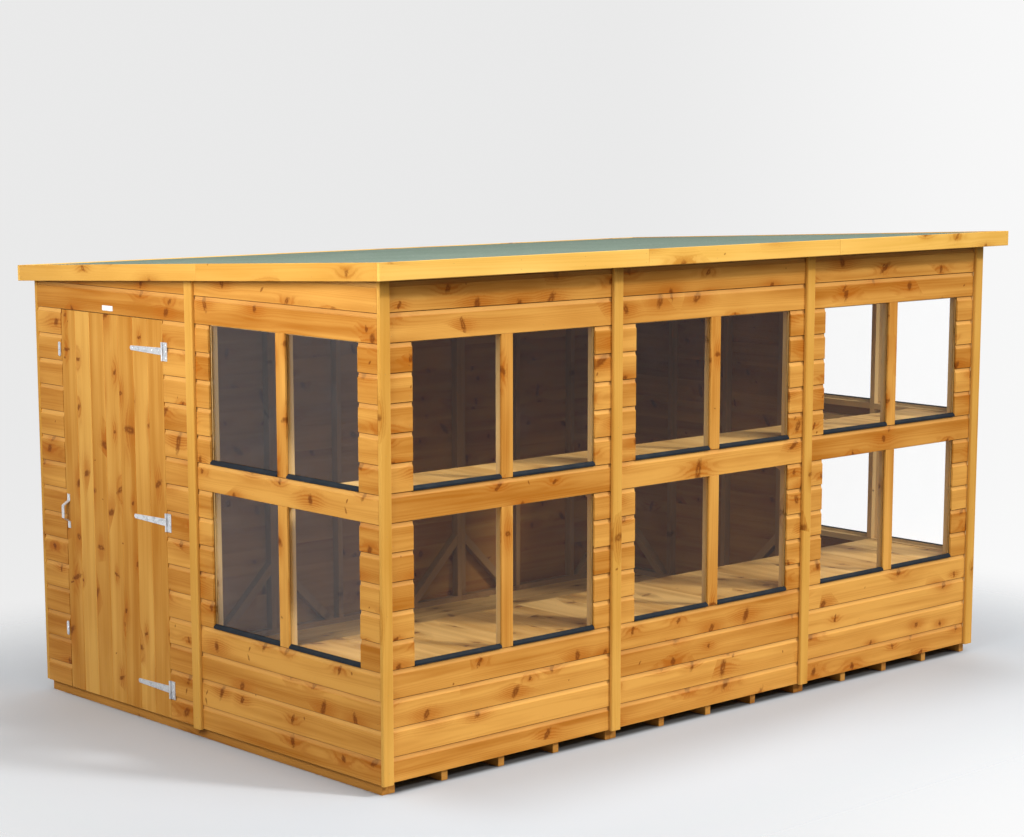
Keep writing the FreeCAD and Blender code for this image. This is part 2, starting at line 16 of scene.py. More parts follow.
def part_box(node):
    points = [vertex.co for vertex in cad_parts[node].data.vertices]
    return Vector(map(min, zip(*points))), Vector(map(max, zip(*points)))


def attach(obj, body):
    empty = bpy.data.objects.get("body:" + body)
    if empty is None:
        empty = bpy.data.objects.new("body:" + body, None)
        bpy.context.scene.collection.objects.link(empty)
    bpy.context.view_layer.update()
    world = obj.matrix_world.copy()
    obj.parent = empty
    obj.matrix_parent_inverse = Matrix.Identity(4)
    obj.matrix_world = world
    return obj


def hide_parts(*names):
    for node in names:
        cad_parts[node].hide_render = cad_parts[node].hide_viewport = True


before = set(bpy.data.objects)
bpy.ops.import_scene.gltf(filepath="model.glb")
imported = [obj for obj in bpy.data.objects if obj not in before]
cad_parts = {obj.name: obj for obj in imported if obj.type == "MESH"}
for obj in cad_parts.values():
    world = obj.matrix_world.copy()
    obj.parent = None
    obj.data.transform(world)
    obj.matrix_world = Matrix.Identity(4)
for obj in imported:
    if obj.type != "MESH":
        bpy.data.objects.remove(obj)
LOG = logging.getLogger("potting_shed")
Colour = tuple[float, float, float, float]
# Start of the random draws, and how far the grain may shift from board to board, in metres.
SEED = 41
SHIFT_ALONG = 60.0
SHIFT_THROUGH = 3.0
# Faces that turn by less are one flat face, and edges that turn by more are eased.
FLAT_ANGLE = math.radians(1.0)
SHARP_ANGLE = math.radians(25.0)
# Steps in a metre within which corners are one, and lengths in metres that count as none.
WELD_STEPS = 1e5
TOLERANCE = 0.001
CUT_TOLERANCE = 1e-6


class Socket:
    """One output of a node, with operators that add Math nodes behind it."""

    def __init__(self, tree: "Tree", plug: NodeSocket) -> None:
        """Keep the tree and the output."""
        self.tree = tree
        self.plug = plug

    def _math(self, operation: str, *values: "Number") -> "Socket":
        """The result of a Math node that the values feed in order."""
        return self.tree.add("ShaderNodeMath", {"operation": operation}, dict(enumerate(values)))

    def __add__(self, other: "Number") -> "Socket":
        """Sum."""
        return self._math("ADD", self, other)

    __radd__ = __add__

    def __sub__(self, other: "Number") -> "Socket":
        """Difference."""
        return self._math("SUBTRACT", self, other)

    def __rsub__(self, other: "Number") -> "Socket":
        """Difference, with a plain number first."""
        return self._math("SUBTRACT", other, self)

    def __mul__(self, other: "Number") -> "Socket":
        """Product."""
        return self._math("MULTIPLY", self, other)

    __rmul__ = __mul__

    def __truediv__(self, other: "Number") -> "Socket":
        """Quotient."""
        return self._math("DIVIDE", self, other)

    def __rtruediv__(self, other: "Number") -> "Socket":
        """Quotient, with a plain number first."""
        return self._math("DIVIDE", other, self)

    def __pow__(self, other: "Number") -> "Socket":
        """Power."""
        return self._math("POWER", self, other)

    def wave(self) -> "Socket":
        """A sine of whole turns, between 0 and 1."""
        return (self * math.tau).sine() * 0.5 + 0.5

    def root(self) -> "Socket":
        """Square root."""
        return self._math("SQRT", self)

    def sine(self) -> "Socket":
        """Sine of an angle in radians."""
        return self._math("SINE", self)

    def cosine(self) -> "Socket":
        """Cosine of an angle in radians."""
        return self._math("COSINE", self)

    def part(self) -> "Socket":
        """What is left over a whole number."""
        return self._math("FRACT", self)

    def over(self, start: float) -> "Socket":
        """How far the size of the value lies over a start, and 0 under it."""
        return self._math("MAXIMUM", self._math("ABSOLUTE", self) - start, 0.0)

    def under(self, limit: "Number") -> "Socket":
        """1 where the value is under the limit, and 0 elsewhere."""
        return self._math("LESS_THAN", self, limit)

    def ease(self, start: float, end: float) -> "Socket":
        """A soft step.

        Args:
            start: Value that gives 0.
            end: Value that gives 1; it may be the lower of the two.

        Returns:
            The step, between 0 and 1.
        """
        (low, at_low), (high, at_high) = sorted(((start, 0.0), (end, 1.0)))
        return self.tree.add("ShaderNodeMapRange", {"interpolation_type": "SMOOTHSTEP"},
                             {0: self, 1: low, 2: high, 3: at_low, 4: at_high})

    def held(self) -> "Socket":
        """The value, kept between 0 and 1."""
        return self.tree.add("ShaderNodeClamp", {}, {0: self})


Number = Union[Socket, float]


class Tree:
    """A node tree that is written as expressions."""

    def __init__(self, tree: NodeTree) -> None:
        """Keep the tree."""
        self.tree = tree

    def feed(self, plug: NodeSocket, value: Any) -> None:
        """Feed one input of a node.

        Args:
            plug: The input.
            value: A Socket, or a constant.
        """
        if isinstance(value, Socket):
            self.tree.links.new(value.plug, plug)
        else:
            plug.default_value = value

    def node(self, kind: str, settings: dict[str, Any], inputs: dict[Any, Any]) -> Node:
        """Add a node.

        Args:
            kind: The node's type.
            settings: The node's own settings, set before its sockets.
            inputs: What feeds its sockets, by name or place.

        Returns:
            The node.
        """
        made = self.tree.nodes.new(kind)
        for name, value in settings.items():
            setattr(made, name, value)
        for key, value in inputs.items():
            self.feed(made.inputs[key], value)
        return made

    def add(self, kind: str, settings: dict[str, Any], inputs: dict[Any, Any], output: Any = 0) -> Socket:
        """Add a node and take one of its outputs, by name or place."""
        return Socket(self, self.node(kind, settings, inputs).outputs[output])

    def outputs(self, kind: str, settings: dict[str, Any], inputs: dict[Any, Any]) -> dict[str, Socket]:
        """Add a node and take all of its outputs, by name."""
        return {plug.name: Socket(self, plug) for plug in self.node(kind, settings, inputs).outputs}

    def vector(self, operation: str, first: Any, second: Any) -> Socket:
        """The result of a Vector Math node on two vectors."""
        return self.add("ShaderNodeVectorMath", {"operation": operation}, {0: first, 1: second})

    def join(self, x: Number, y: Number, z: Number) -> Socket:
        """A vector of three numbers."""
        return self.add("ShaderNodeCombineXYZ", {}, {0: x, 1: y, 2: z})

    def split(self, vector: Socket) -> tuple[Socket, ...]:
        """The three numbers of a vector."""
        return tuple(self.outputs("ShaderNodeSeparateXYZ", {}, {0: vector}).values())

    def blend(self, share: Number, first: Any, second: Any) -> Socket:
        """Two colours mixed, with the share of the second."""
        return self.add("ShaderNodeMix", {"data_type": "RGBA"}, {0: share, 6: first, 7: second}, 2)

    def noise(self, place: Socket, detail: float, scale: float = 1.0) -> Socket:
        """Cloudy noise, mostly between 0.3 and 0.7, with its number of finer layers and its scale."""
        return self.add("ShaderNodeTexNoise", {}, {"Vector": place, "Scale": scale, "Detail": detail})


class Shade(Tree):
    """A new material with one Principled shader."""

    def __init__(self, name: str) -> None:
        """Make the material and its shader.

        Args:
            name: Name of the material.
        """
        self.material = bpy.data.materials.new(name)
        self.material.use_nodes = True
        super().__init__(self.material.node_tree)
        self.tree.nodes.clear()
        self.skin = self.node("ShaderNodeBsdfPrincipled", {}, {})
        self.node("ShaderNodeOutputMaterial", {}, {"Surface": Socket(self, self.skin.outputs[0])})

    def place(self) -> Socket:
        """Object coordinates, in metres."""
        return self.add("ShaderNodeTexCoord", {}, {}, "Object")

    def attribute(self, name: str, output: str) -> Socket:
        """An attribute of the piece: Vector for a vector, Fac for a number."""
        return self.add("ShaderNodeAttribute", {"attribute_name": name}, {}, output)

    def relief(self, height: Number, strength: float, distance: float) -> None:
        """Give the surface fine relief, of a strength and of a full height in metres."""
        inputs = {"Height": height, "Strength": strength, "Distance": distance}
        self.set(Normal=self.add("ShaderNodeBump", {}, inputs))

    def set(self, **inputs: Any) -> None:
        """Feed the shader's sockets; words in a socket's name are joined by an underscore."""
        for name, value in inputs.items():
            self.feed(self.skin.inputs[name.replace("_", " ")], value)


@dataclass(frozen=True)
class Finish:
    """A finish that builds a material of its name."""

    name: str

    def material(self) -> Material:
        """Build the material.

        Returns:
            The material.
        """
        shade = Shade(self.name)
        self.paint(shade)
        return shade.material

    def paint(self, shade: Shade) -> None:
        """Lay the nodes; each kind of finish has its own."""
        raise NotImplementedError


@dataclass(frozen=True)
class Wood(Finish):
    """Knotty softwood, stained or bare. It reads each board's own grain and tone attributes.

    Attributes:
        pale: Colour of the early wood.
        deep: Colour of the late wood and of dark streaks.
        halo: Colour of the wood round a knot.
        knot: Colour of a knot.
        knot_share: Share of the places for knots that hold one.
        ring_depth: How strongly the growth rings show.
        streak_depth: How strongly the long streaks show.
        tone_depth: How much the boards differ from each other.
        roughness: Roughness of the finish.
        gloss: Strength of the sheen.
        relief: Strength of the fine relief.
        joint: Distance across a board past which the joint's dark line starts, in metres; 0 for no joint. The
            line is stain gathered in the joint and painted shade under the lip.
        shaded_shell: Half length, half depth and middle depth of the space whose faces get painted shade, in
            metres.
        cove_painted_highlight: Colour of the painted highlight towards which the hollow under a joint goes.
        stain_and_painted_shade: Colour towards which a joint's line of stain and painted shade, and the
            painted shade inside, go.
    """

    pale: Colour
    deep: Colour
    halo: Colour
    knot: Colour
    knot_share: float = 0.62
    ring_depth: float = 0.14
    streak_depth: float = 1.7
    tone_depth: float = 0.55
    roughness: float = 0.5
    gloss: float = 0.07
    relief: float = 0.3
    joint: float = 0.0
    shaded_shell: tuple[float, float, float] = (0.0, 0.0, 0.0)
    cove_painted_highlight: Colour = (0.92, 0.55, 0.19, 1)
    stain_and_painted_shade: Colour = (0.07, 0.022, 0.004, 1)

    def paint(self, shade: Shade) -> None:
        """Lay the grain, the knots and, where the boards have them, the joints with painted highlight and
        shade.

        Args:
            shade: The new material.
        """
        tone = shade.attribute("tone", "Fac")
        along, across, through = shade.split(shade.attribute("grain", "Vector"))

        def drawn_out(length: float, width: float, detail: float) -> Socket:
            """Noise that is longer along the grain, by its scales along and across."""
            return shade.noise(shade.join(along * length, across * width, through * width), detail)

        core, halo = self.knots(shade, along, across, shift=tone * 7.0, cells=(4.0, 9.0),
                                radius=(0.0085, 0.0120), share=self.knot_share)
        pins, _ = self.knots(shade, along, across, shift=tone * 3.0, cells=(6.0, 16.0),
                             radius=(0.0028, 0.0034), share=self.knot_share * 0.1)

        # Growth rings arch about each board's pith and bend round the knots.
        pith = ((tone * 13.7).part() - 0.5) * 0.10
        arch = ((across - pith) / 0.034) ** 2.0
        years = along * 1.1 + arch * 1.5 + drawn_out(0.8, 9.0, 2.0) * 3.0 + halo * 1.6
        late = years.wave().ease(0.3, 1.0)
        fibre = drawn_out(14.0, 620.0, 1.0)
        streak = drawn_out(0.8, 19.0, 2.0)
        patch = drawn_out(2.4, 6.0, 1.0)

        # Streaks, patches, the board's tone, rings and fibre share the way from pale to deep.
        depth = 0.42 + (streak - 0.5) * self.streak_depth + (patch - 0.5) * 0.9
        depth = depth + (tone - 0.5) * self.tone_depth + (late - 0.4) * self.ring_depth
        depth = depth + (fibre - 0.5) * 0.2
        colour = shade.blend(depth.held(), self.pale, self.deep)
        colour = shade.blend(halo * (0.48 + late * 0.34), colour, self.halo)
        colour = shade.blend((core + pins).held() * (0.68 + fibre * 0.36), colour, self.knot)
        # Boards with joints get a painted highlight in each hollow and painted shade at each joint and
        # inside.
        if self.joint:
            colour = self.paint_joint_light_and_shade(shade, across, colour)
        shade.set(Base_Color=colour, Roughness=self.roughness + (fibre - 0.5) * 0.25 - late * 0.06,
                  Specular_IOR_Level=self.gloss)
        shade.relief(late * 0.35 + fibre * 0.5 - core * 0.35, self.relief, 0.0008)

    def knots(self, shade: Shade, along: Socket, across: Socket, shift: Socket, cells: tuple[float, float],
              radius: tuple[float, float], share: float) -> tuple[Socket, Socket]:
        """Scattered knots, cut at a slant.

        Args:
            shade: The material's tree.
            along: Place along the grain.
            across: Place across the grain.
            shift: Shift of the scatter for each board.
            cells: Places for knots in a metre along and across.
            radius: Least radius and how much it may grow.
            share: Share of the places that hold a knot.

        Returns:
            Where the knots are, and the darker wood round them.
        """
        spread = shade.join(along * cells[0], across * cells[1] + shift, 0.0)
        cell = shade.outputs("ShaderNodeTexVoronoi", {"voronoi_dimensions": "2D"},
                             {"Vector": spread, "Scale": 1.0})
        cell_x, cell_y, _ = shade.split(shade.vector("SUBTRACT", spread, cell["Position"]))
        chance, size, lean = shade.split(cell["Color"])
        dx, dy = cell_x / cells[0], cell_y / cells[1]
        full_radius = radius[0] + size * radius[1]
        turn = 0.5 + lean * 1.5
        long_way = dx * turn.cosine() + dy * turn.sine()
        short_way = dy * turn.cosine() - dx * turn.sine()
        ripple = shade.noise(shade.join(along * 90.0, across * 90.0, 0.0), 3.0) - 0.5
        flat = 0.28 + (size * 7.3).part() * 0.6
        distance = ((long_way * flat) ** 2.0 + short_way ** 2.0).root() + ripple * radius[0] * 2.2
        reach = distance / full_radius
        there = chance.under(share)
        core = reach.ease(1.15, 0.3) * there * (1.0 - reach.ease(0.45, 0.0) * (lean * 5.1).part() * 0.7)
        ring = ((dx * 0.42) ** 2.0 + dy ** 2.0).root() / full_radius + ripple * 0.9
        halo = there / (1.0 + (ring * 0.5) ** 4.0)
        return core, halo

    def paint_joint_light_and_shade(self, shade: Shade, across: Socket, colour: Socket) -> Socket:
        """Paint a highlight on a board's hollow, stain and shade on the joint above it, and shade inside.

        Args:
            shade: The material's tree.
            across: Place across the grain.
            colour: The wood's colour.

        Returns:
            The colour with the painted highlight, the joint and the painted shade.
        """
        x, y, _ = shade.split(shade.place())
        half_length, half_depth, middle = self.shaded_shell
        # Faces inside the walls' shell get painted shade.
        inside_shade = (x.over(half_length) + (y - middle).over(half_depth)).under(0.0005)
        # Painted highlight on the hollow under each joint, where light from above would catch it.
        cove = across.ease(self.joint - 0.020, self.joint - 0.010) * (1.0 - inside_shade) * 0.24
        # The joint's dark line: stain gathered in the joint and painted shade under the lip.
        joint = across.ease(self.joint, self.joint + 0.0025) * (1.0 - inside_shade) * 0.85
        colour = shade.blend(cove, colour, self.cove_painted_highlight)
        return shade.blend(joint + inside_shade * 0.5, colour, self.stain_and_painted_shade)


@dataclass(frozen=True)
class Zinc(Finish):
    """Zinc plate with faint spangle: the metal's tint and its colour where it has dulled."""

    tint: Colour
    dull: Colour

    def paint(self, shade: Shade) -> None:
        """Lay the spangle and the dull clouds.

        Args:
            shade: The new material.
        """
        place = shade.place()
        cell = shade.add("ShaderNodeTexVoronoi", {}, {"Vector": place, "Scale": 190.0}, "Color")
        spangle, second, _ = shade.split(cell)
        cloud = shade.noise(place, 4.0, 34.0)
        worn = (cloud + (spangle - 0.5) * 0.2).ease(0.45, 0.72)
        shade.set(Base_Color=shade.blend(worn, self.tint, self.dull), Metallic=0.85 - worn * 0.35,
                  Roughness=0.27 + second * 0.08 + worn * 0.22)
        shade.relief(cloud + spangle * 0.1, 0.12, 0.0006)


@dataclass(frozen=True)
class Moulded(Finish):
    """A satin moulded plastic: its tint, the colour of the dust on it, its roughness and its sheen."""

    tint: Colour
    dust: Colour
    roughness: float
    gloss: float = 0.5

    def paint(self, shade: Shade) -> None:
        """Lay the dust.

        Args:
            shade: The new material.
        """
        place = shade.place()
        cloud = shade.noise(place, 4.0, 14.0)
        grit = shade.noise(place, 2.0, 900.0)
        dust = cloud.ease(0.42, 0.75) * 0.55 + (grit - 0.5) * 0.25
        shade.set(Base_Color=shade.blend(dust.held(), self.tint, self.dust),
                  Roughness=self.roughness + (cloud - 0.5) * 0.25, Specular_IOR_Level=self.gloss)
        shade.relief(grit, 0.1, 0.0004)


@dataclass(frozen=True)
class MineralFelt(Finish):
    """Mineral roofing felt: the colours of its pale and of its dark granules."""

    pale: Colour
    deep: Colour

    def paint(self, shade: Shade) -> None:
        """Lay the granules.

        Args:
            shade: The new material.
        """
        place = shade.place()
        cell = shade.outputs("ShaderNodeTexVoronoi", {}, {"Vector": place, "Scale": 620.0})
        granule, _, _ = shade.split(cell["Color"])
        cloud = shade.noise(place, 5.0, 2.2)
        mottle = shade.noise(place, 2.0, 46.0)
        share = granule * 0.55 + (cloud - 0.5) * 0.7 + (mottle - 0.5) * 0.5 + 0.2
        shade.set(Base_Color=shade.blend(share.held(), self.pale, self.deep),
                  Roughness=0.82 + granule * 0.12)
        shade.relief(cell["Distance"] + mottle, 0.5, 0.0012)


@dataclass(frozen=True)
class Pane(Finish):
    """Clear glazing: it mirrors in its tint, more as it is seen from the side, and lets the rest through."""

    tint: Colour

    def paint(self, shade: Shade) -> None:
        """Lay the mirror and its faint smears.

        Args:
            shade: The new material.
        """
        facing = shade.add("ShaderNodeLayerWeight", {}, {"Blend": 0.5}, "Facing")
        smear = shade.noise(shade.place(), 3.0, 5.0)
        mirror = 0.026 + (facing ** 5.0) * 0.9 + smear.ease(0.5, 0.8) * 0.008
        shade.set(Base_Color=self.tint, Metallic=1.0, Alpha=mirror.held(),
                  Roughness=0.02 + smear.ease(0.45, 0.8) * 0.05)
        shade.material.surface_render_method = "BLENDED"


@dataclass(frozen=True)
class Paper(Finish):
    """The pale sheet that the shed stands on, which fades out round it, with painted shade under and before
    the shed and a paler patch painted behind it.

    Attributes:
        tint: Main colour.
        shadow: Colour of its faint clouds.
        painted_shade: Colour of the shade painted under the shed and along its front.
        shadow_lift: Paler colour painted behind the shed, where the shed's cast shadow falls, to lighten that
            shadow.
    """

    tint: Colour
    shadow: Colour
    painted_shade: Colour
    shadow_lift: Colour

    def paint(self, shade: Shade) -> None:
        """Lay the sheet's clouds, painted shade under and before the shed, and a paler patch painted behind
        it where its shadow falls.

        Args:
            shade: The new material.
        """
        place = shade.place()
        x, y, _ = shade.split(place)
        cloud = shade.noise(place, 3.0, 0.35)
        away = (x.over(1.9) ** 2.0 + y.over(1.25) ** 2.0).root()
        front = y.ease(-0.9, -1.35) * 0.27 * x.over(1.5).ease(0.45, 0.0)
        # Painted contact shade on the sheet round the shed, strongest along its front.
        contact_shade = away.ease(0.7, 0.0) * (0.05 + front)
        # Behind the shed the sheet is painted paler to lighten the shed's cast shadow.
        sheet = shade.blend(y.ease(0.7, 1.5), shade.blend(cloud, self.tint, self.shadow), self.shadow_lift)
        shaded_sheet = shade.blend(contact_shade, sheet, self.painted_shade)
        # Painted shade under the shed.
        inside = (x.over(1.80) + y.over(1.12)).ease(0.05, 0.0)
        shade.set(Base_Color=shade.blend(inside, shaded_sheet, self.painted_shade), Roughness=0.7 + cloud * 0.1,
                  Alpha=away.ease(1.9, 0.2))


# The cladding's shaded_shell is the space inside the walls, whose faces get painted shade.
CLADDING_WOOD = Wood("stained_cladding", (0.67, 0.330, 0.067, 1), (0.405, 0.140, 0.013, 1),
                     (0.39, 0.104, 0.005, 1), (0.15, 0.030, 0.001, 1), joint=0.0530,
                     shaded_shell=(1.845, 1.191, 0.0425))
TRIM_WOOD = Wood("stained_trim", (0.68, 0.365, 0.075, 1), (0.52, 0.235, 0.030, 1), (0.40, 0.14, 0.012, 1),
                 (0.20, 0.058, 0.005, 1), knot_share=0.25, streak_depth=1.2, tone_depth=0.3)
# A paler copy of the stained trim for the long fascias: painted highlight for the light the front fascia
# catches.
HIGHLIT_FASCIA_WOOD = Wood("stained_fascia", (0.86, 0.51, 0.124, 1), (0.66, 0.35, 0.054, 1), (0.48, 0.185, 0.018, 1),
                   (0.27, 0.085, 0.008, 1), knot_share=0.3, streak_depth=1.3, tone_depth=0.25)
DOOR_WOOD = Wood("stained_door", (0.68, 0.358, 0.078, 1), (0.44, 0.168, 0.018, 1), (0.39, 0.107, 0.006, 1),
                 (0.15, 0.032, 0.001, 1), ring_depth=0.1, streak_depth=1.4, tone_depth=0.5)
FRAME_WOOD = Wood("sawn_frame", (0.76, 0.52, 0.22, 1), (0.60, 0.37, 0.125, 1), (0.44, 0.21, 0.055, 1),
                  (0.20, 0.08, 0.016, 1), knot_share=0.35, streak_depth=1.2, tone_depth=0.4, roughness=0.72,
                  relief=0.6)
# A darker copy of the frame wood: painted shade for the frames and roof timbers that stand in the shed's
# shade.
SHADED_FRAME_WOOD = replace(FRAME_WOOD, name="inner_frame", pale=(0.36, 0.20, 0.075, 1),
                     deep=(0.25, 0.125, 0.040, 1), halo=(0.20, 0.09, 0.025, 1), knot=(0.12, 0.05, 0.012, 1))
FLOOR_WOOD = Wood("planed_boards", (0.84, 0.53, 0.18, 1), (0.58, 0.31, 0.075, 1), (0.40, 0.18, 0.03, 1),
                  (0.19, 0.07, 0.012, 1), knot_share=0.35, roughness=0.6)
JOIST_WOOD = Wood("treated_joists", (0.54, 0.25, 0.05, 1), (0.32, 0.12, 0.018, 1), (0.24, 0.08, 0.010, 1),
                  (0.13, 0.04, 0.006, 1), roughness=0.7, relief=0.6)
ROOF_WOOD = Wood("roof_sheet", (0.44, 0.28, 0.11, 1), (0.32, 0.18, 0.06, 1), (0.28, 0.14, 0.04, 1),
                 (0.2, 0.09, 0.02, 1), knot_share=0.15, roughness=0.75)
NAIL_STEEL = Zinc("nail_steel", (0.36, 0.22, 0.08, 1), (0.24, 0.13, 0.04, 1))
CLOUT_ZINC = Zinc("clout_zinc", (0.26, 0.29, 0.27, 1), (0.15, 0.18, 0.16, 1))
BRIGHT_ZINC = Zinc("bright_zinc", (0.70, 0.71, 0.73, 1), (0.46, 0.47, 0.49, 1))
SILL_SLATE = Moulded("slate_sill", (0.010, 0.014, 0.019, 1), (0.024, 0.031, 0.038, 1), 0.55, 0.12)
WHITE_PLATE = Moulded("white_plate", (0.86, 0.86, 0.84, 1), (0.7, 0.7, 0.68, 1), 0.4)
ROOF_FELT = MineralFelt("green_felt", (0.180, 0.240, 0.186, 1), (0.088, 0.137, 0.098, 1))
CLEAR_PANE = Pane("clear_pane", (0.95, 0.97, 0.98, 1))
# Its third colour is the painted shade under and before the shed, its fourth the paler patch painted behind
# it.
PALE_PAPER = Paper("pale_floor", (0.610, 0.645, 0.680, 1), (0.590, 0.625, 0.660, 1), (0.10, 0.10, 0.10, 1),
                   (0.82, 0.86, 0.90, 1))
FINISHES = (CLADDING_WOOD, TRIM_WOOD, HIGHLIT_FASCIA_WOOD, DOOR_WOOD, FRAME_WOOD, SHADED_FRAME_WOOD, FLOOR_WOOD, JOIST_WOOD,
            ROOF_WOOD, NAIL_STEEL, CLOUT_ZINC, BRIGHT_ZINC, SILL_SLATE, WHITE_PLATE, ROOF_FELT, CLEAR_PANE,
            PALE_PAPER)


class Body(Enum):
    """The bodies that dressed pieces ride on."""

    SHED = "shed"
    DOOR = "door"


class Wall(Enum):
    """The four walls, each with the turn that takes its drawing to its place."""

    FRONT = 0.0
    RIGHT = 90.0
    BACK = 180.0
    LEFT = -90.0

    def axes(self) -> Matrix:
        """The turn of the wall: along it, into it and up."""
        return Matrix.Rotation(math.radians(self.value), 3, "Z")

    def is_long(self) -> bool:
        """Whether the wall runs along X, under the level edges of the roof."""
        return self in (Wall.FRONT, Wall.BACK)

    def run(self, low: Vector, high: Vector) -> float:
        """Length of a box along the wall."""
        return high.x - low.x if self.is_long() else high.y - low.y

    def place(self, spot: Vector) -> Matrix:
        """A spot with the turn of the wall."""
        return Matrix.Translation(spot) @ self.axes().to_4x4()

    def start(self, low: Vector, high: Vector) -> Vector:
        """The corner of a box that is first along the wall, outermost and lowest.

        Args:
            low: Lowest corner of the box.
            high: Highest corner of the box.

        Returns:
            The corner.
        """
        axes = self.axes()
        picked = [low[i] if axes[i][0] + axes[i][1] > 0 else high[i] for i in range(2)]
        return Vector((*picked, low.z))


@dataclass
class Solid:
    """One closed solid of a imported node: its corners in metres, and its triangles as places in them."""

    points: np.ndarray
    faces: list[tuple[int, ...]]

    def box(self) -> tuple[Vector, Vector]:
        """Lowest and highest corner."""
        return Vector(self.points.min(0)), Vector(self.points.max(0))

    def axes(self) -> np.ndarray:
        """Rows that run along, across and through the solid."""
        return np.linalg.svd(self.points - self.points.mean(0), full_matrices=False)[2]

    def eased(self, width: float) -> tuple[np.ndarray, list[list[int]]]:
        """The solid with flat faces joined and its edges eased.

        Args:
            width: Width of the easing; 0 leaves the edges sharp.

        Returns:
            Its points and its faces.
        """
        work = bmesh.new()
        corners = [work.verts.new(point) for point in self.points]
        for face in self.faces:
            work.faces.new([corners[index] for index in face])
        bmesh.ops.dissolve_limit(work, angle_limit=FLAT_ANGLE, verts=work.verts, edges=work.edges)
        if width > 0:
            closed = [edge for edge in work.edges if edge.is_manifold]
            sharp = [edge for edge in closed if edge.calc_face_angle() > SHARP_ANGLE]
            bmesh.ops.bevel(work, geom=sharp, offset=width, segments=2, profile=0.5, affect="EDGES",
                            clamp_overlap=True)
        work.verts.index_update()
        points = np.array([vertex.co for vertex in work.verts], float)
        faces = [[vertex.index for vertex in face.verts] for face in work.faces]
        work.free()
        return points, faces


def solids_of(node: str) -> list[Solid]:
    """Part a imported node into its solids: triangles follow each other until no edge is left open.

    Args:
        node: Name of the node.

    Returns:
        The node's solids, in order.
    """
    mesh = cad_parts[node].data
    mesh.calc_loop_triangles()
    places = [tuple(round(x * WELD_STEPS) for x in vertex.co) for vertex in mesh.vertices]
    solids: list[Solid] = []
    known: dict[tuple[int, ...], int] = {}
    points: list[Vector] = []
    faces: list[tuple[int, ...]] = []
    open_edges: set[tuple[int, int]] = set()
    for triangle in mesh.loop_triangles:
        corners = []
        for index in triangle.vertices:
            place = places[index]
            if place not in known:
                known[place] = len(points)
                points.append(mesh.vertices[index].co)
            corners.append(known[place])
        if len(set(corners)) == 3:
            faces.append(tuple(corners))
            for a, b in zip(corners, corners[1:] + corners[:1]):
                open_edges ^= {(min(a, b), max(a, b))}
        if faces and not open_edges:
            solids.append(Solid(np.array(points, float), faces))
            known, points, faces = {}, [], []
    return solids


def boxes_of(node: str) -> list[tuple[Vector, Vector]]:
    """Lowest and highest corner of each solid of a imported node."""
    return [solid.box() for solid in solids_of(node)]


def spaced(run: float, edge: float, spacing: float) -> list[float]:
    """Even places along a run.

    Args:
        run: Length of the run.
        edge: Distance of the first and last place from its ends.
        spacing: Greatest distance between places.

    Returns:
        The distance of each place from the run's start.
    """
    span = run - 2 * edge
    gaps = max(1, math.ceil(span / spacing))
    return [edge + i * span / gaps for i in range(gaps + 1)]


def write(mesh: Mesh, name: str, values: np.ndarray) -> None:
    """Give each point of a mesh a number, or a vector where the values have rows."""
    kind, field = ("FLOAT_VECTOR", "vector") if values.ndim == 2 else ("FLOAT", "value")
    mesh.attributes.new(name, kind, "POINT").data.foreach_set(field, values.astype(np.float32).ravel())


def loft(work: bmesh.types.BMesh, loops: Sequence[Sequence[Sequence[float]]]) -> None:
    """Add a closed shape: faces from each loop to the next, and a cap at both ends.

    Args:
        work: What the shape is added to.
        loops: The points of each loop.
    """
    rows = [[work.verts.new(point) for point in loop] for loop in loops]
    for first, second in zip(rows, rows[1:]):
        for i in range(len(first)):
            work.faces.new((first[i - 1], first[i], second[i], second[i - 1]))
    work.faces.new(rows[0])
    work.faces.new(rows[-1])


def mesh_of(work: bmesh.types.BMesh, name: str) -> Mesh:
    """Turn a closed shape into a mesh whose faces point outwards.

    Args:
        work: The shape, which is used up.
        name: Name of the mesh.

    Returns:
        The mesh.
    """
    bmesh.ops.recalc_face_normals(work, faces=work.faces)
    mesh = bpy.data.meshes.new(name)
    work.to_mesh(mesh)
    work.free()
    return mesh


def put_in_scene(name: str, data: ID) -> Object:
    """Make an object.

    Args:
        name: Name of the object.
        data: Its mesh, light or camera.

    Returns:
        The object, in the scene.
    """
    made = bpy.data.objects.new(name, data)
    bpy.context.scene.collection.objects.link(made)
    return made


def seat(piece: Object, body: Body, slot: str, *nodes: str) -> None:
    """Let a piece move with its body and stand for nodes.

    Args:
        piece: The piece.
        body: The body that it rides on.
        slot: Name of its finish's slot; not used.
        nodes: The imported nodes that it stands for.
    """
    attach(piece, body.value)
    if nodes:
        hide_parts(*nodes)
    LOG.info("%s: %d faces on %s", piece.name, len(piece.data.polygons), body.value)


def seat_mesh(mesh: Mesh, material: Material, body: Body, slot: str, *nodes: str) -> None:
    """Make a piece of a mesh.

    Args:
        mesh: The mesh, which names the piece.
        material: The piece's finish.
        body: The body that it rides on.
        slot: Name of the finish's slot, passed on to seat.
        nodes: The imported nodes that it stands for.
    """
    mesh.materials.append(material)
    seat(put_in_scene(mesh.name, mesh), body, slot, *nodes)


def refinish(node: str, material: Material) -> None:
    """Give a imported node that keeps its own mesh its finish.

    Args:
        node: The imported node.
        material: Its finish.
    """
    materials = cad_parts[node].data.materials
    materials.clear()
    materials.append(material)
    LOG.info("%s keeps its mesh", node)


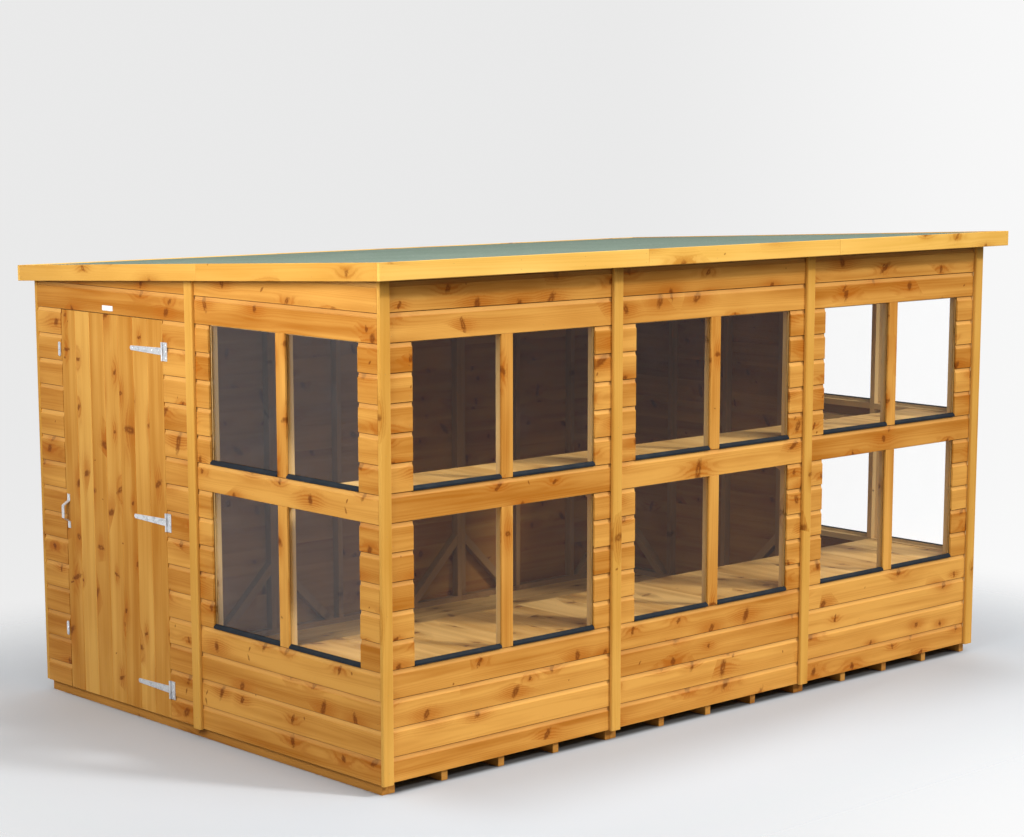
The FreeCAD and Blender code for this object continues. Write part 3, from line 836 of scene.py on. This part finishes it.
@dataclass
class Timbers:
    """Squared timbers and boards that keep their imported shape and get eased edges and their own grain.

    Attributes:
        ease: Width of the easing along the edges, in metres.
    """

    ease: float = 0.0016

    def dress(self, node: str, material: Material, slot: str, body: Body = Body.SHED) -> None:
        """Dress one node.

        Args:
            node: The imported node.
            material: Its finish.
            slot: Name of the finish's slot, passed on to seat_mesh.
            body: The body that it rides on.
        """
        mesh = bpy.data.meshes.new(node + "_dressed")
        random = np.random.default_rng(sum(mesh.name.encode()) + SEED)
        points, faces, grain, tone = [], [], [], []
        for solid in solids_of(node):
            corners, sides = solid.eased(self.ease)
            centre = (corners.max(0) + corners.min(0)) / 2
            shift = np.array([random.uniform(0, SHIFT_ALONG), 0.0, random.uniform(0, SHIFT_THROUGH)])
            faces += [[index + len(points) for index in side] for side in sides]
            points += corners.tolist()
            grain += ((corners - centre) @ solid.axes().T + shift).tolist()
            tone += [random.uniform()] * len(corners)
        mesh.from_pydata(points, [], faces)
        write(mesh, "grain", np.array(grain))
        write(mesh, "tone", np.array(tone))
        seat_mesh(mesh, material, body, slot, node)


class Grower:
    """Geometry Nodes that set one shape on many points, and the plain mesh that they leave."""

    def __init__(self, name: str) -> None:
        """Start a tree with its sockets.

        Args:
            name: Name of the tree.
        """
        self.group = bpy.data.node_groups.new(name, "GeometryNodeTree")
        inputs = {"Geometry": "Geometry", "Shape": "Object", "Finish": "Material", "Seed": "Int",
                  "Shift Along": "Float", "Shift Through": "Float"}
        for title, kind in inputs.items():
            self.group.interface.new_socket(title, in_out="INPUT", socket_type="NodeSocket" + kind)
        self.group.interface.new_socket("Geometry", in_out="OUTPUT", socket_type="NodeSocketGeometry")
        self._wire(Tree(self.group))

    def _wire(self, tree: Tree) -> None:
        """Lay the tree: shapes on points, a tone and grain for each, real geometry and its finish.

        Args:
            tree: The empty tree.
        """
        given = tree.outputs("NodeGroupInput", {}, {})

        def vector_of(name: str) -> Socket:
            """A vector attribute of the geometry."""
            return tree.add("GeometryNodeInputNamedAttribute", {"data_type": "FLOAT_VECTOR"}, {"Name": name})

        def draw(step: float, most: Number) -> Socket:
            """A random number for each copy, from 0 to the most, with a seed some steps on."""
            return tree.add("FunctionNodeRandomValue", {"data_type": "FLOAT"},
                            {2: 0.0, 3: most, "Seed": given["Seed"] + step}, 1)

        def store(geometry: Socket, domain: str, kind: str, name: str, value: Socket) -> Socket:
            """The geometry with one more attribute."""
            return tree.add("GeometryNodeStoreNamedAttribute", {"data_type": kind, "domain": domain},
                            {"Geometry": geometry, "Name": name, "Value": value})

        shape = tree.add("GeometryNodeObjectInfo", {}, {"Object": given["Shape"]}, "Geometry")
        points = tree.add("GeometryNodeMeshToPoints", {}, {"Mesh": given["Geometry"]})
        made = tree.add("GeometryNodeInstanceOnPoints", {},
                        {"Points": points, "Instance": shape, "Rotation": vector_of("turn"),
                         "Scale": vector_of("stretch")})
        made = store(made, "INSTANCE", "FLOAT", "tone", draw(0.0, 1.0))
        shift = tree.join(draw(1.0, given["Shift Along"]), 0.0, draw(2.0, given["Shift Through"]))
        made = store(made, "INSTANCE", "FLOAT_VECTOR", "shift", shift)
        made = tree.add("GeometryNodeRealizeInstances", {}, {"Geometry": made})
        local = tree.vector("MULTIPLY", vector_of("local"), vector_of("stretch"))
        made = store(made, "POINT", "FLOAT_VECTOR", "grain", tree.vector("ADD", local, vector_of("shift")))
        made = tree.add("GeometryNodeSetMaterial", {}, {"Geometry": made, "Material": given["Finish"]})
        tree.node("NodeGroupOutput", {}, {"Geometry": made})

    def grow(self, name: str, shape: Mesh, local: np.ndarray, places: Sequence[Matrix],
             stretches: Sequence[Sequence[float]], material: Material) -> Object:
        """Set a shape on many places.

        Args:
            name: Name of the piece.
            shape: Mesh of the shape at the origin.
            local: Place of each of its points along, across and through the grain.
            places: Place and turn of each copy.
            stretches: Stretch of each copy.
            material: The finish.

        Returns:
            An object with one plain mesh.
        """
        mesh = bpy.data.meshes.new(name)
        mesh.from_pydata([place.translation for place in places], [], [])
        write(mesh, "turn", np.array([place.to_euler() for place in places]))
        write(mesh, "stretch", np.array(stretches))
        write(shape, "local", local)
        pattern = put_in_scene(name + "_pattern", shape)
        piece = put_in_scene(name, mesh)
        modifier = piece.modifiers.new("grow", "NODES")
        modifier.node_group = self.group
        values = {"Shape": pattern, "Finish": material, "Seed": sum(name.encode()) + SEED,
                  "Shift Along": SHIFT_ALONG, "Shift Through": SHIFT_THROUGH}
        for item in self.group.interface.items_tree:
            if item.in_out == "INPUT" and item.name in values:
                modifier[item.identifier] = values[item.name]
        depsgraph = bpy.context.evaluated_depsgraph_get()
        grown = bpy.data.meshes.new_from_object(piece.evaluated_get(depsgraph), preserve_all_data_layers=True,
                                                depsgraph=depsgraph)
        piece.modifiers.remove(modifier)
        piece.data = grown
        bpy.data.objects.remove(pattern)
        return piece


@dataclass
class RoofPlane:
    """The underside of the roof sheets, by their thickness in metres."""

    sheet: float = 0.012

    def __post_init__(self) -> None:
        """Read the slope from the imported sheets."""
        low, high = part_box("roof_sheets")
        self.front = low.y
        self.top = high.z - self.sheet
        self.slope = (self.top - low.z) / (high.y - low.y)

    def height(self, y: float) -> float:
        """Height of the underside at a place along the depth."""
        return self.top - self.slope * (y - self.front)

    def normal(self) -> Vector:
        """Direction straight out of the roof."""
        return Vector((0.0, self.slope, 1.0)).normalized()


@dataclass
class Cladding:
    """Shiplap boards: each has a lip below, a hollow cove above it and a tongue under the next board.

    Attributes:
        grower: Tree that sets the boards.
        roof: The roof that trims the top boards.
        thickness: Thickness of a board.
        lip: Thickness of the lip and of the tongue's seat.
        cover: Height that a board covers.
        tongue, cove: Height of the tongue and of the hollow.
        round_over: Rounding of the lip's lower edge.
        round_steps, cove_steps: Flats round the lip's edge and the hollow.
        nail_edge, nail_rise: Distance of a nail from a board's end and lower edge.
        nail_spacing: Greatest distance between nails.
        nail_drop: Least distance of a nail under the roof.
    """

    grower: Grower
    roof: RoofPlane
    thickness: float = 0.012
    lip: float = 0.006
    cover: float = 0.114
    tongue: float = 0.008
    cove: float = 0.020
    round_over: float = 0.0018
    round_steps: int = 3
    cove_steps: int = 7
    nail_edge: float = 0.016
    nail_rise: float = 0.024
    nail_spacing: float = 0.40
    nail_drop: float = 0.03

    def board(self) -> Mesh:
        """A board one metre long, from the origin along X, with its face at Y = 0.

        Returns:
            The mesh.
        """
        outline = []
        for step in range(self.round_steps + 1):
            turn = math.radians(90 * step / self.round_steps)
            outline.append((self.round_over * (1 - math.sin(turn)), self.round_over * (1 - math.cos(turn))))
        for step in range(self.cove_steps + 1):
            turn = math.radians(90 * step / self.cove_steps)
            outline.append((self.lip * math.sin(turn), self.cover - self.cove * math.cos(turn)))
        outline += [(self.lip, self.cover + self.tongue), (self.thickness, self.cover + self.tongue),
                    (self.thickness, self.tongue), (self.lip, self.tongue), (self.lip, 0.0)]
        work = bmesh.new()
        loft(work, [[(x, depth, rise) for depth, rise in outline] for x in (0.0, 1.0)])
        return mesh_of(work, "board")

    def trim(self, piece: Object, floor: float) -> None:
        """Cut the boards at the roof and at the wall's foot, and close the cuts.

        Args:
            piece: The boards of a panel.
            floor: Height of the wall's foot.
        """
        work = bmesh.new()
        work.from_mesh(piece.data)
        under_roof = Vector((0.0, self.roof.front, self.roof.height(self.roof.front)))
        foot, down = Vector((0.0, 0.0, floor)), Vector((0.0, 0.0, -1.0))
        for point, normal in ((under_roof, self.roof.normal()), (foot, down)):
            everything = work.verts[:] + work.edges[:] + work.faces[:]
            bmesh.ops.bisect_plane(work, geom=everything, dist=CUT_TOLERANCE, plane_co=point,
                                   plane_no=normal, clear_outer=True)
            bmesh.ops.holes_fill(work, edges=[edge for edge in work.edges if edge.is_boundary])
        work.to_mesh(piece.data)
        work.free()

    def side(self, panel: str, wall: Wall, material: Material) -> list[Matrix]:
        """Board one panel.

        Args:
            panel: Name of the panel.
            wall: The wall that it stands in.
            material: Finish of the boards.

        Returns:
            The places of its nails.
        """
        node = panel + "_cladding"
        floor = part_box(node)[0].z
        places, stretches, nails = [], [], []
        for low, high in boxes_of(node):
            corner = wall.start(low, high)
            run = wall.run(low, high)
            if low.z < floor + TOLERANCE:
                corner.z = high.z - self.tongue - self.cover
            places.append(wall.place(corner))
            stretches.append((run, 1.0, 1.0))
            for along in spaced(run, self.nail_edge, self.nail_spacing):
                spot = corner + wall.axes() @ Vector((along, 0.0, 0.0))
                spot.z = low.z + self.nail_rise
                if spot.z < self.roof.height(spot.y) - self.nail_drop:
                    nails.append(wall.place(spot))
        shape = self.board()
        local = np.array([(v.co.x, v.co.z - self.cover / 2, v.co.y) for v in shape.vertices])
        piece = self.grower.grow(panel + "_boards", shape, local, places, stretches, material)
        self.trim(piece, floor)
        seat(piece, Body.SHED, "cladding_wood", node)
        return nails


@dataclass
class Fixings:
    """Nail and screw heads.

    Attributes:
        grower: Tree that sets the heads.
        steel, zinc, dull_zinc: Finishes of nails, screws and clouts.
        nail_radius, nail_face, nail_rise: Radius, share of it in the face, and thickness of a nail's head.
        clout_radius, clout_face, clout_rise: The same of a clout's head.
        head_sides: Sides of a nail's or clout's head.
        screw_radius, screw_rise, screw_sides: Radius, height and sides of a screw's dome.
        strip_spacing, strip_edge: Distance between a strip's nails at most, and from its ends.
        fascia_spacing, fascia_edge: Distance between a fascia's pairs at most, and from its ends and edges.
    """

    grower: Grower
    steel: Material
    zinc: Material
    dull_zinc: Material
    nail_radius: float = 0.0017
    nail_face: float = 0.6
    nail_rise: float = 0.0007
    clout_radius: float = 0.0045
    clout_face: float = 0.8
    clout_rise: float = 0.0012
    head_sides: int = 8
    screw_radius: float = 0.0042
    screw_rise: float = 0.0014
    screw_sides: int = 10
    strip_spacing: float = 0.34
    strip_edge: float = 0.05
    fascia_spacing: float = 0.42
    fascia_edge: float = 0.017

    def flat_head(self, radius: float, face_share: float, rise: float) -> Mesh:
        """A flat round head about Y = 0.

        Args:
            radius: Its radius.
            face_share: Share of the radius that its face has.
            rise: Its thickness.

        Returns:
            The mesh.
        """
        work = bmesh.new()
        bmesh.ops.create_cone(work, cap_ends=True, segments=self.head_sides, radius1=radius,
                              radius2=radius * face_share, depth=rise,
                              matrix=Matrix.Rotation(math.radians(90), 4, "X"))
        return mesh_of(work, "flat_head")

    def domed_head(self) -> Mesh:
        """A domed screw head in front of Y = 0, hollow in its middle where the driver goes.

        Returns:
            The mesh.
        """
        # Shares of the radius and of the height, from the rim to the hollow.
        rings = ((1.0, 0.05), (0.96, -0.35), (0.8, -0.75), (0.45, -1.0), (0.36, -0.55))
        turns = [math.tau * i / self.screw_sides for i in range(self.screw_sides)]
        loops = []
        for share, rise in rings:
            reach = share * self.screw_radius
            y = rise * self.screw_rise
            loops.append([(reach * math.cos(turn), y, reach * math.sin(turn)) for turn in turns])
        work = bmesh.new()
        loft(work, loops)
        return mesh_of(work, "domed_head")

    def nails(self, name: str, places: Sequence[Matrix], body: Body = Body.SHED) -> None:
        """Set nails."""
        shape = self.flat_head(self.nail_radius, self.nail_face, self.nail_rise)
        self.set(name, shape, places, self.steel, body)

    def clouts(self, name: str, places: Sequence[Matrix]) -> None:
        """Set clouts."""
        shape = self.flat_head(self.clout_radius, self.clout_face, self.clout_rise)
        self.set(name, shape, places, self.dull_zinc, Body.SHED)

    def screws(self, name: str, places: Sequence[Matrix], body: Body = Body.SHED) -> None:
        """Set screws."""
        self.set(name, self.domed_head(), places, self.zinc, body)

    def set(self, name: str, shape: Mesh, places: Sequence[Matrix], material: Material,
            body: Body) -> None:
        """Set heads.

        Args:
            name: Name of the piece.
            shape: A head.
            places: Place and turn of each head.
            material: Finish of the heads.
            body: The body that they ride on.
        """
        local = np.zeros((len(shape.vertices), 3))
        stretches = [(1.0, 1.0, 1.0)] * len(places)
        seat(self.grower.grow(name, shape, local, places, stretches, material), body, "ironwork")

    def upright(self, node: str, walls: Sequence[Wall]) -> list[Matrix]:
        """Places for nails up the middle of upright strips.

        Args:
            node: The strips' node.
            walls: The wall that each strip stands on, in order.

        Returns:
            The places.
        """
        places = []
        for (low, high), wall in zip(boxes_of(node), walls):
            out = wall.axes() @ Vector((0.0, -1.0, 0.0))
            spot = (low + high) / 2 + out * (high - low) / 2
            for rise in spaced(high.z - low.z, self.strip_edge, self.strip_spacing):
                spot.z = low.z + rise
                places.append(wall.place(spot))
        return places

    def level(self, node: str, wall: Wall, roof: RoofPlane) -> list[Matrix]:
        """Places for nails in pairs along a fascia.

        Args:
            node: The fascia's node.
            wall: The wall that it runs along.
            roof: The roof that the fascia follows.

        Returns:
            The places.
        """
        places = []
        slope = 0.0 if wall.is_long() else roof.slope
        for low, high in boxes_of(node):
            run = wall.run(low, high)
            tall = high.z - low.z - slope * run
            for along in spaced(run, self.fascia_edge, self.fascia_spacing):
                spot = wall.start(low, high) + wall.axes() @ Vector((along, 0.0, 0.0))
                for drop in (self.fascia_edge, tall - self.fascia_edge):
                    spot.z = high.z - slope * (spot.y - low.y) - drop
                    places.append(wall.place(spot))
        return places


@dataclass
class Felting:
    """Felt in runs along the roof, each lapped over the one below it and nailed with clouts.

    Attributes:
        roof: The roof that carries it.
        fixings: What sets the clouts.
        runs: Number of runs.
        lap: Width of a lap, in metres.
        fall: Width over which a run comes down behind its lap.
        thickness: Thickness of one layer.
        spacing, edge: Distance between clouts at most, and from an edge.
    """

    roof: RoofPlane
    fixings: Fixings
    runs: int = 3
    lap: float = 0.075
    fall: float = 0.03
    thickness: float = 0.0015
    spacing: float = 0.075
    edge: float = 0.022

    def point(self, x: float, y: float, rise: float) -> Vector:
        """A point at a height over the roof sheets."""
        return Vector((x, y, self.roof.height(y) + self.roof.sheet + rise))

    def lay(self, material: Material) -> None:
        """Lay the runs from the low edge up, and nail them.

        Args:
            material: The felt's finish.
        """
        low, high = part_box("roof_felt")
        pitch = (high.y - low.y) / self.runs
        work = bmesh.new()
        clouts = []
        for run in range(self.runs):
            foot = high.y - run * pitch
            head = max(low.y, foot - pitch - self.lap)
            raised = self.thickness if run else 0.0
            behind = foot - self.lap
            stops = [(foot, raised), (behind, raised), (behind - self.fall, 0.0), (head, 0.0)]
            outline = stops + [(y, rise + self.thickness) for y, rise in reversed(stops)]
            loft(work, [[self.point(x, y, rise) for y, rise in outline] for x in (low.x, high.x)])
            clouts += self.row(low.x, high.x, foot - self.edge, raised + self.thickness)
        clouts += self.row(low.x, high.x, low.y + self.edge, self.thickness)
        seat_mesh(mesh_of(work, "felt_runs"), material, Body.SHED, "roof_felt", "roof_felt")
        self.fixings.clouts("felt_clouts", clouts)

    def row(self, left: float, right: float, y: float, rise: float) -> list[Matrix]:
        """Places for clouts in a row along the roof.

        Args:
            left: Left end of the felt.
            right: Right end of the felt.
            y: Place of the row along the depth.
            rise: Height over the roof sheets.

        Returns:
            The places.
        """
        turn = Vector((0.0, -1.0, 0.0)).rotation_difference(self.roof.normal()).to_matrix().to_4x4()
        steps = spaced(right - left, self.edge, self.spacing)
        return [Matrix.Translation(self.point(left + along, y, rise)) @ turn for along in steps]


@dataclass
class Door:
    """Nails and screws of the ledged leaf and its hinges, and the bare plate over the doorway.

    Attributes:
        fixings: What sets nails and screws.
        metal: Thickness of the hinges' sheet.
        strap_screws: Places of the screws along a strap, as shares of its length.
        leaf_screws, leaf_inset: Heights of a hinge plate's screws over its middle, and inset from its edge.
        ledge_count: Number of ledges, which come before the braces.
        nail_inset, handle_inset: Inset of a nail from a ledge's edge, and of a screw from the handle's end.
        plate_centre: Distance of the plate's middle from the panel's edge, and its height.
        plate_size, plate_depth: Width and height, and thickness of the plate.
        plate_round, plate_ease: Rounding of the plate's corners and of its rim.
    """

    fixings: Fixings
    metal: float = 0.0025
    strap_screws: tuple[float, ...] = (0.14, 0.34, 0.56, 0.93)
    leaf_screws: tuple[float, ...] = (-0.027, 0.0, 0.027)
    leaf_inset: float = 0.012
    ledge_count: int = 3
    nail_inset: float = 0.022
    handle_inset: float = 0.010
    plate_centre: tuple[float, float] = (0.6148, 1.7686)
    plate_size: tuple[float, float] = (0.0806, 0.0221)
    plate_depth: float = 0.0022
    plate_round: float = 0.003
    plate_ease: float = 0.0006

    def on_face(self, x: float, spots: Iterable[tuple[float, float]]) -> list[Matrix]:
        """Places on the left side at X, by their depth and height."""
        return [Wall.LEFT.place(Vector((x, y, z))) for y, z in spots]

    def fix(self) -> None:
        """Screw the hinges and the handle on, and nail the boards to the ledges."""
        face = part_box("door_boards")[0].x
        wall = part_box("door_panel_cladding")[0].x
        straps, plates, nails = [], [], []
        for low, high in boxes_of("hinge_straps"):
            middle = (low.z + high.z) / 2
            straps += [(low.y + share * (high.y - low.y), middle) for share in self.strap_screws]
        for low, high in boxes_of("hinge_plates"):
            middle = (low.z + high.z) / 2
            plates += [(low.y + self.leaf_inset, middle + rise) for rise in self.leaf_screws]
        ledges = boxes_of("door_ledges")[:self.ledge_count]
        for low, high in boxes_of("door_boards"):
            for foot, top in ledges:
                rises = (foot.z + self.nail_inset, top.z - self.nail_inset)
                nails += [((low.y + high.y) / 2, rise) for rise in rises]
        low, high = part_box("door_handle")
        rises = (low.z + self.handle_inset, high.z - self.handle_inset)
        ends = [((low.y + high.y) / 2, rise) for rise in rises]
        self.fixings.screws("strap_screws", self.on_face(face - self.metal, straps), Body.DOOR)
        self.fixings.screws("plate_screws", self.on_face(wall - self.metal, plates))
        self.fixings.nails("door_nails", self.on_face(face, nails), Body.DOOR)
        self.fixings.screws("handle_screws", self.on_face(face - self.metal, ends), Body.DOOR)

    def plate(self, material: Material) -> None:
        """Set a small bare plate over the doorway.

        Args:
            material: Its finish.
        """
        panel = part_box("door_panel_cladding")[0]
        half_y, half_z = self.plate_size[0] / 2, self.plate_size[1] / 2
        centre = Vector((panel.x, panel.y + self.plate_centre[0], self.plate_centre[1]))
        work = bmesh.new()
        corners = [work.verts.new(centre + Vector((x, y, z))) for z in (-half_z, half_z)
                   for y in (-half_y, half_y) for x in (0.0, -self.plate_depth)]
        bmesh.ops.convex_hull(work, input=corners)
        bmesh.ops.dissolve_limit(work, angle_limit=FLAT_ANGLE, verts=work.verts, edges=work.edges)
        through = [edge for edge in work.edges if abs((edge.verts[0].co - edge.verts[1].co).x) > TOLERANCE]
        bmesh.ops.bevel(work, geom=through, offset=self.plate_round, segments=4, profile=0.5, affect="EDGES")
        rim = [edge for edge in work.edges if edge.calc_face_angle() > SHARP_ANGLE]
        bmesh.ops.bevel(work, geom=rim, offset=self.plate_ease, segments=2, profile=0.5, affect="EDGES")
        seat_mesh(mesh_of(work, "door_head_plate"), material, Body.SHED, "sill_plastic")


@dataclass(frozen=True)
class Lamp:
    """A lamp that the camera doesn't see: its place, what it points at, its power and other settings."""

    name: str
    kind: str
    place: tuple[float, float, float]
    target: tuple[float, float, float]
    power: float
    settings: dict[str, Any]

    def hang(self) -> None:
        """Put the lamp in the scene."""
        data = bpy.data.lights.new(self.name, self.kind)
        data.energy = self.power
        for key, value in self.settings.items():
            setattr(data, key, value)
        made = put_in_scene(self.name, data)
        made.location = self.place
        made.rotation_euler = (Vector(self.target) - Vector(self.place)).to_track_quat("-Z", "Y").to_euler()
        made.visible_camera = False


LAMPS = (
    Lamp("key", "SUN", (4.12, -6.856, 6.2), (0.0, 0.0, 1.0), 1.88, {"angle": math.radians(8.0)}),
    Lamp("fill", "AREA", (-5.0, -0.9, 2.9), (-1.8, -0.1, 2.4), 84.0,
         {"shape": "RECTANGLE", "size": 4.0, "size_y": 1.6, "spread": math.radians(106.0)}),
    Lamp("front", "AREA", (0.3, -4.9, 4.6), (0.2, -1.2, 1.9), 160.0, {"size": 4.0}),
    Lamp("right", "SPOT", (4.5, -0.6, 2.3), (0.9, -1.0, 0.45), 270.0,
         {"spot_size": math.radians(20.0), "spot_blend": 0.9, "shadow_soft_size": 0.3}),
    Lamp("overhead", "AREA", (0.0, -1.0, 8.0), (0.0, -1.0, 0.0), 350.0, {"size": 10.0}))


@dataclass
class Studio:
    """Camera, lights and the pale floor.

    Attributes:
        eye: Place of the camera.
        pan: Turn of the camera from the depth axis towards +X, in degrees.
        dip, roll: Turn of the camera downwards and about its view, in degrees.
        lens, sensor: Focal length and width of the sensor, in millimetres.
        shift: Shift of the view across and up, as shares of its width.
        sight: Greatest distance that the camera sees.
        grey: Colour of the surroundings.
        glow: Strength of the surroundings to every ray.
        backdrop: Further strength to the camera.
        mirrored, mirrored_left: Further strength to gloss, and how much it grows towards the left.
        reach: Half the width of the floor.
    """

    eye: tuple[float, float, float] = (-7.3755, -7.9802, 2.5814)
    pan: float = 43.911
    dip: float = 9.326
    roll: float = -0.232
    lens: float = 82.901
    sensor: float = 36.0
    shift: tuple[float, float] = (-0.06697, 0.08358)
    sight: float = 200.0
    grey: Colour = (0.84, 0.84, 0.84, 1)
    glow: float = 0.22
    backdrop: float = 0.755
    mirrored: float = 0.32
    mirrored_left: float = 0.56
    reach: float = 60.0

    def camera(self) -> None:
        """Set the camera up."""
        data = bpy.data.cameras.new("view")
        data.lens = self.lens
        data.sensor_width = self.sensor
        data.shift_x, data.shift_y = self.shift
        data.clip_end = self.sight
        view = put_in_scene("view", data)
        view.location = self.eye
        view.rotation_euler = [math.radians(turn) for turn in (90 - self.dip, self.roll, -self.pan)]
        bpy.context.scene.camera = view

    def light(self) -> None:
        """Hang the lamps, and make surroundings that are pale to the camera and dimmer to gloss."""
        for lamp in LAMPS:
            lamp.hang()
        world = bpy.data.worlds.new("surroundings")
        world.use_nodes = True
        sky = Tree(world.node_tree)
        ray = sky.outputs("ShaderNodeLightPath", {}, {})
        seen, glossy = ray["Is Camera Ray"], ray["Is Glossy Ray"]
        x, y, z = sky.split(sky.add("ShaderNodeTexCoord", {}, {}, "Generated"))
        leftward = (y - x).ease(-0.9, 0.9)
        # Two panes take some light away, which is made up for.
        glazed = ray["Transparent Depth"].ease(2.0, 4.0) * 0.16
        # The backdrop is paler on the camera's right and low down.
        pale = (x * 0.72 - y * 0.69).ease(0.0, 0.2) * 0.14 + z.ease(-0.12, -0.22) * 0.03
        strength = self.glow + seen * (self.backdrop + pale + glazed)
        strength = strength + glossy * (1.0 - seen) * (self.mirrored + leftward * self.mirrored_left)
        background = world.node_tree.nodes["Background"]
        sky.feed(background.inputs["Color"], self.grey)
        sky.feed(background.inputs["Strength"], strength)
        bpy.context.scene.world = world
        bpy.context.scene.view_settings.view_transform = "Standard"

    def floor(self, material: Material) -> None:
        """Lay the floor.

        Args:
            material: Its finish.
        """
        mesh = bpy.data.meshes.new("floor")
        signs = ((-1, -1), (1, -1), (1, 1), (-1, 1))
        mesh.from_pydata([(x * self.reach, y * self.reach, 0.0) for x, y in signs], [], [(0, 1, 2, 3)])
        mesh.materials.append(material)
        put_in_scene("floor", mesh)


PANELS = (("front_left", Wall.FRONT), ("front_middle", Wall.FRONT), ("front_right", Wall.FRONT),
          ("right_end_window", Wall.RIGHT), ("right_end_plain", Wall.RIGHT), ("back_left", Wall.BACK),
          ("back_middle", Wall.BACK), ("back_right", Wall.BACK), ("left_end_window", Wall.LEFT),
          ("door_panel", Wall.LEFT))
GLAZED = ("front_left", "front_middle", "front_right", "right_end_window", "left_end_window")
STRIPS = (("joint_strips", (Wall.FRONT, Wall.FRONT, Wall.RIGHT, Wall.LEFT, Wall.BACK, Wall.BACK)),
          ("corner_strips", (Wall.FRONT, Wall.FRONT, Wall.RIGHT, Wall.LEFT)))
# The long fascias get the painted highlight copy of the trim wood; the end fascias keep the trim wood.
FASCIAS = (("fascia_front", Wall.FRONT, HIGHLIT_FASCIA_WOOD), ("fascia_back", Wall.BACK, HIGHLIT_FASCIA_WOOD),
           ("fascia_left", Wall.LEFT, TRIM_WOOD), ("fascia_right", Wall.RIGHT, TRIM_WOOD))
IRONWORK = ("hinge_straps", "hinge_plates", "hinge_pins", "door_handle", "turn_button_lower",
            "turn_button_upper", "turn_button_screws")


def main() -> None:
    """Dress the shed and set the studio up."""
    logging.basicConfig(level=logging.INFO, format="%(message)s")
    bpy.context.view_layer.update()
    made = {finish: finish.material() for finish in FINISHES}
    studio = Studio()
    studio.camera()
    studio.light()
    studio.floor(made[PALE_PAPER])

    roof = RoofPlane()
    grower = Grower("set_on_points")
    cladding = Cladding(grower, roof)
    fixings = Fixings(grower, made[NAIL_STEEL], made[BRIGHT_ZINC], made[CLOUT_ZINC])
    for panel, wall in PANELS:
        fixings.nails(panel + "_nails", cladding.side(panel, wall, made[CLADDING_WOOD]))

    timbers = Timbers()
    slight = Timbers(ease=0.0008)
    leaf = Timbers(ease=0.001)
    rounded = Timbers(ease=0.0022)
    sharp = Timbers(ease=0.0)
    for panel, _ in PANELS:
        # Frames of unglazed panels get the darker copy of the frame wood, which is painted shade.
        wood = FRAME_WOOD if panel in GLAZED else SHADED_FRAME_WOOD
        timbers.dress(panel + "_frame", made[wood], "frame_timber")
    for panel in GLAZED:
        timbers.dress(panel + "_mullions", made[CLADDING_WOOD], "cladding_wood")
        slight.dress(panel + "_sills", made[SILL_SLATE], "sill_plastic")
        refinish(panel + "_panes", made[CLEAR_PANE])
    sharp.dress("glazing_beads", made[FRAME_WOOD], "frame_timber")

    for node in ("corner_strips", "joint_strips"):
        rounded.dress(node, made[TRIM_WOOD], "trim_wood")
    strip_nails = [place for node, walls in STRIPS for place in fixings.upright(node, walls)]
    fixings.nails("strip_nails", strip_nails)
    for node, _, wood in FASCIAS:
        rounded.dress(node, made[wood], "trim_wood")
    fascia_nails = [place for node, wall, _ in FASCIAS for place in fixings.level(node, wall, roof)]
    fixings.nails("fascia_nails", fascia_nails)

    for node in ("door_boards", "door_ledges"):
        leaf.dress(node, made[DOOR_WOOD], "door_wood", Body.DOOR)
    door = Door(fixings)
    door.fix()
    door.plate(made[WHITE_PLATE])
    for node in ("floor_boards", "bench_boards", "bench_bearers"):
        timbers.dress(node, made[FLOOR_WOOD], "floor_wood")
    timbers.dress("floor_joists", made[JOIST_WOOD], "joist_timber")
    # The roof timbers inside get the painted shade copy of the frame wood.
    for node in ("roof_purlins", "roof_beams", "roof_battens"):
        timbers.dress(node, made[SHADED_FRAME_WOOD], "frame_timber")
    sharp.dress("roof_sheets", made[ROOF_WOOD], "roof_board")
    for node in IRONWORK:
        refinish(node, made[BRIGHT_ZINC])
    Felting(roof, fixings).lay(made[ROOF_FELT])


if __name__ == "__main__":
    main()
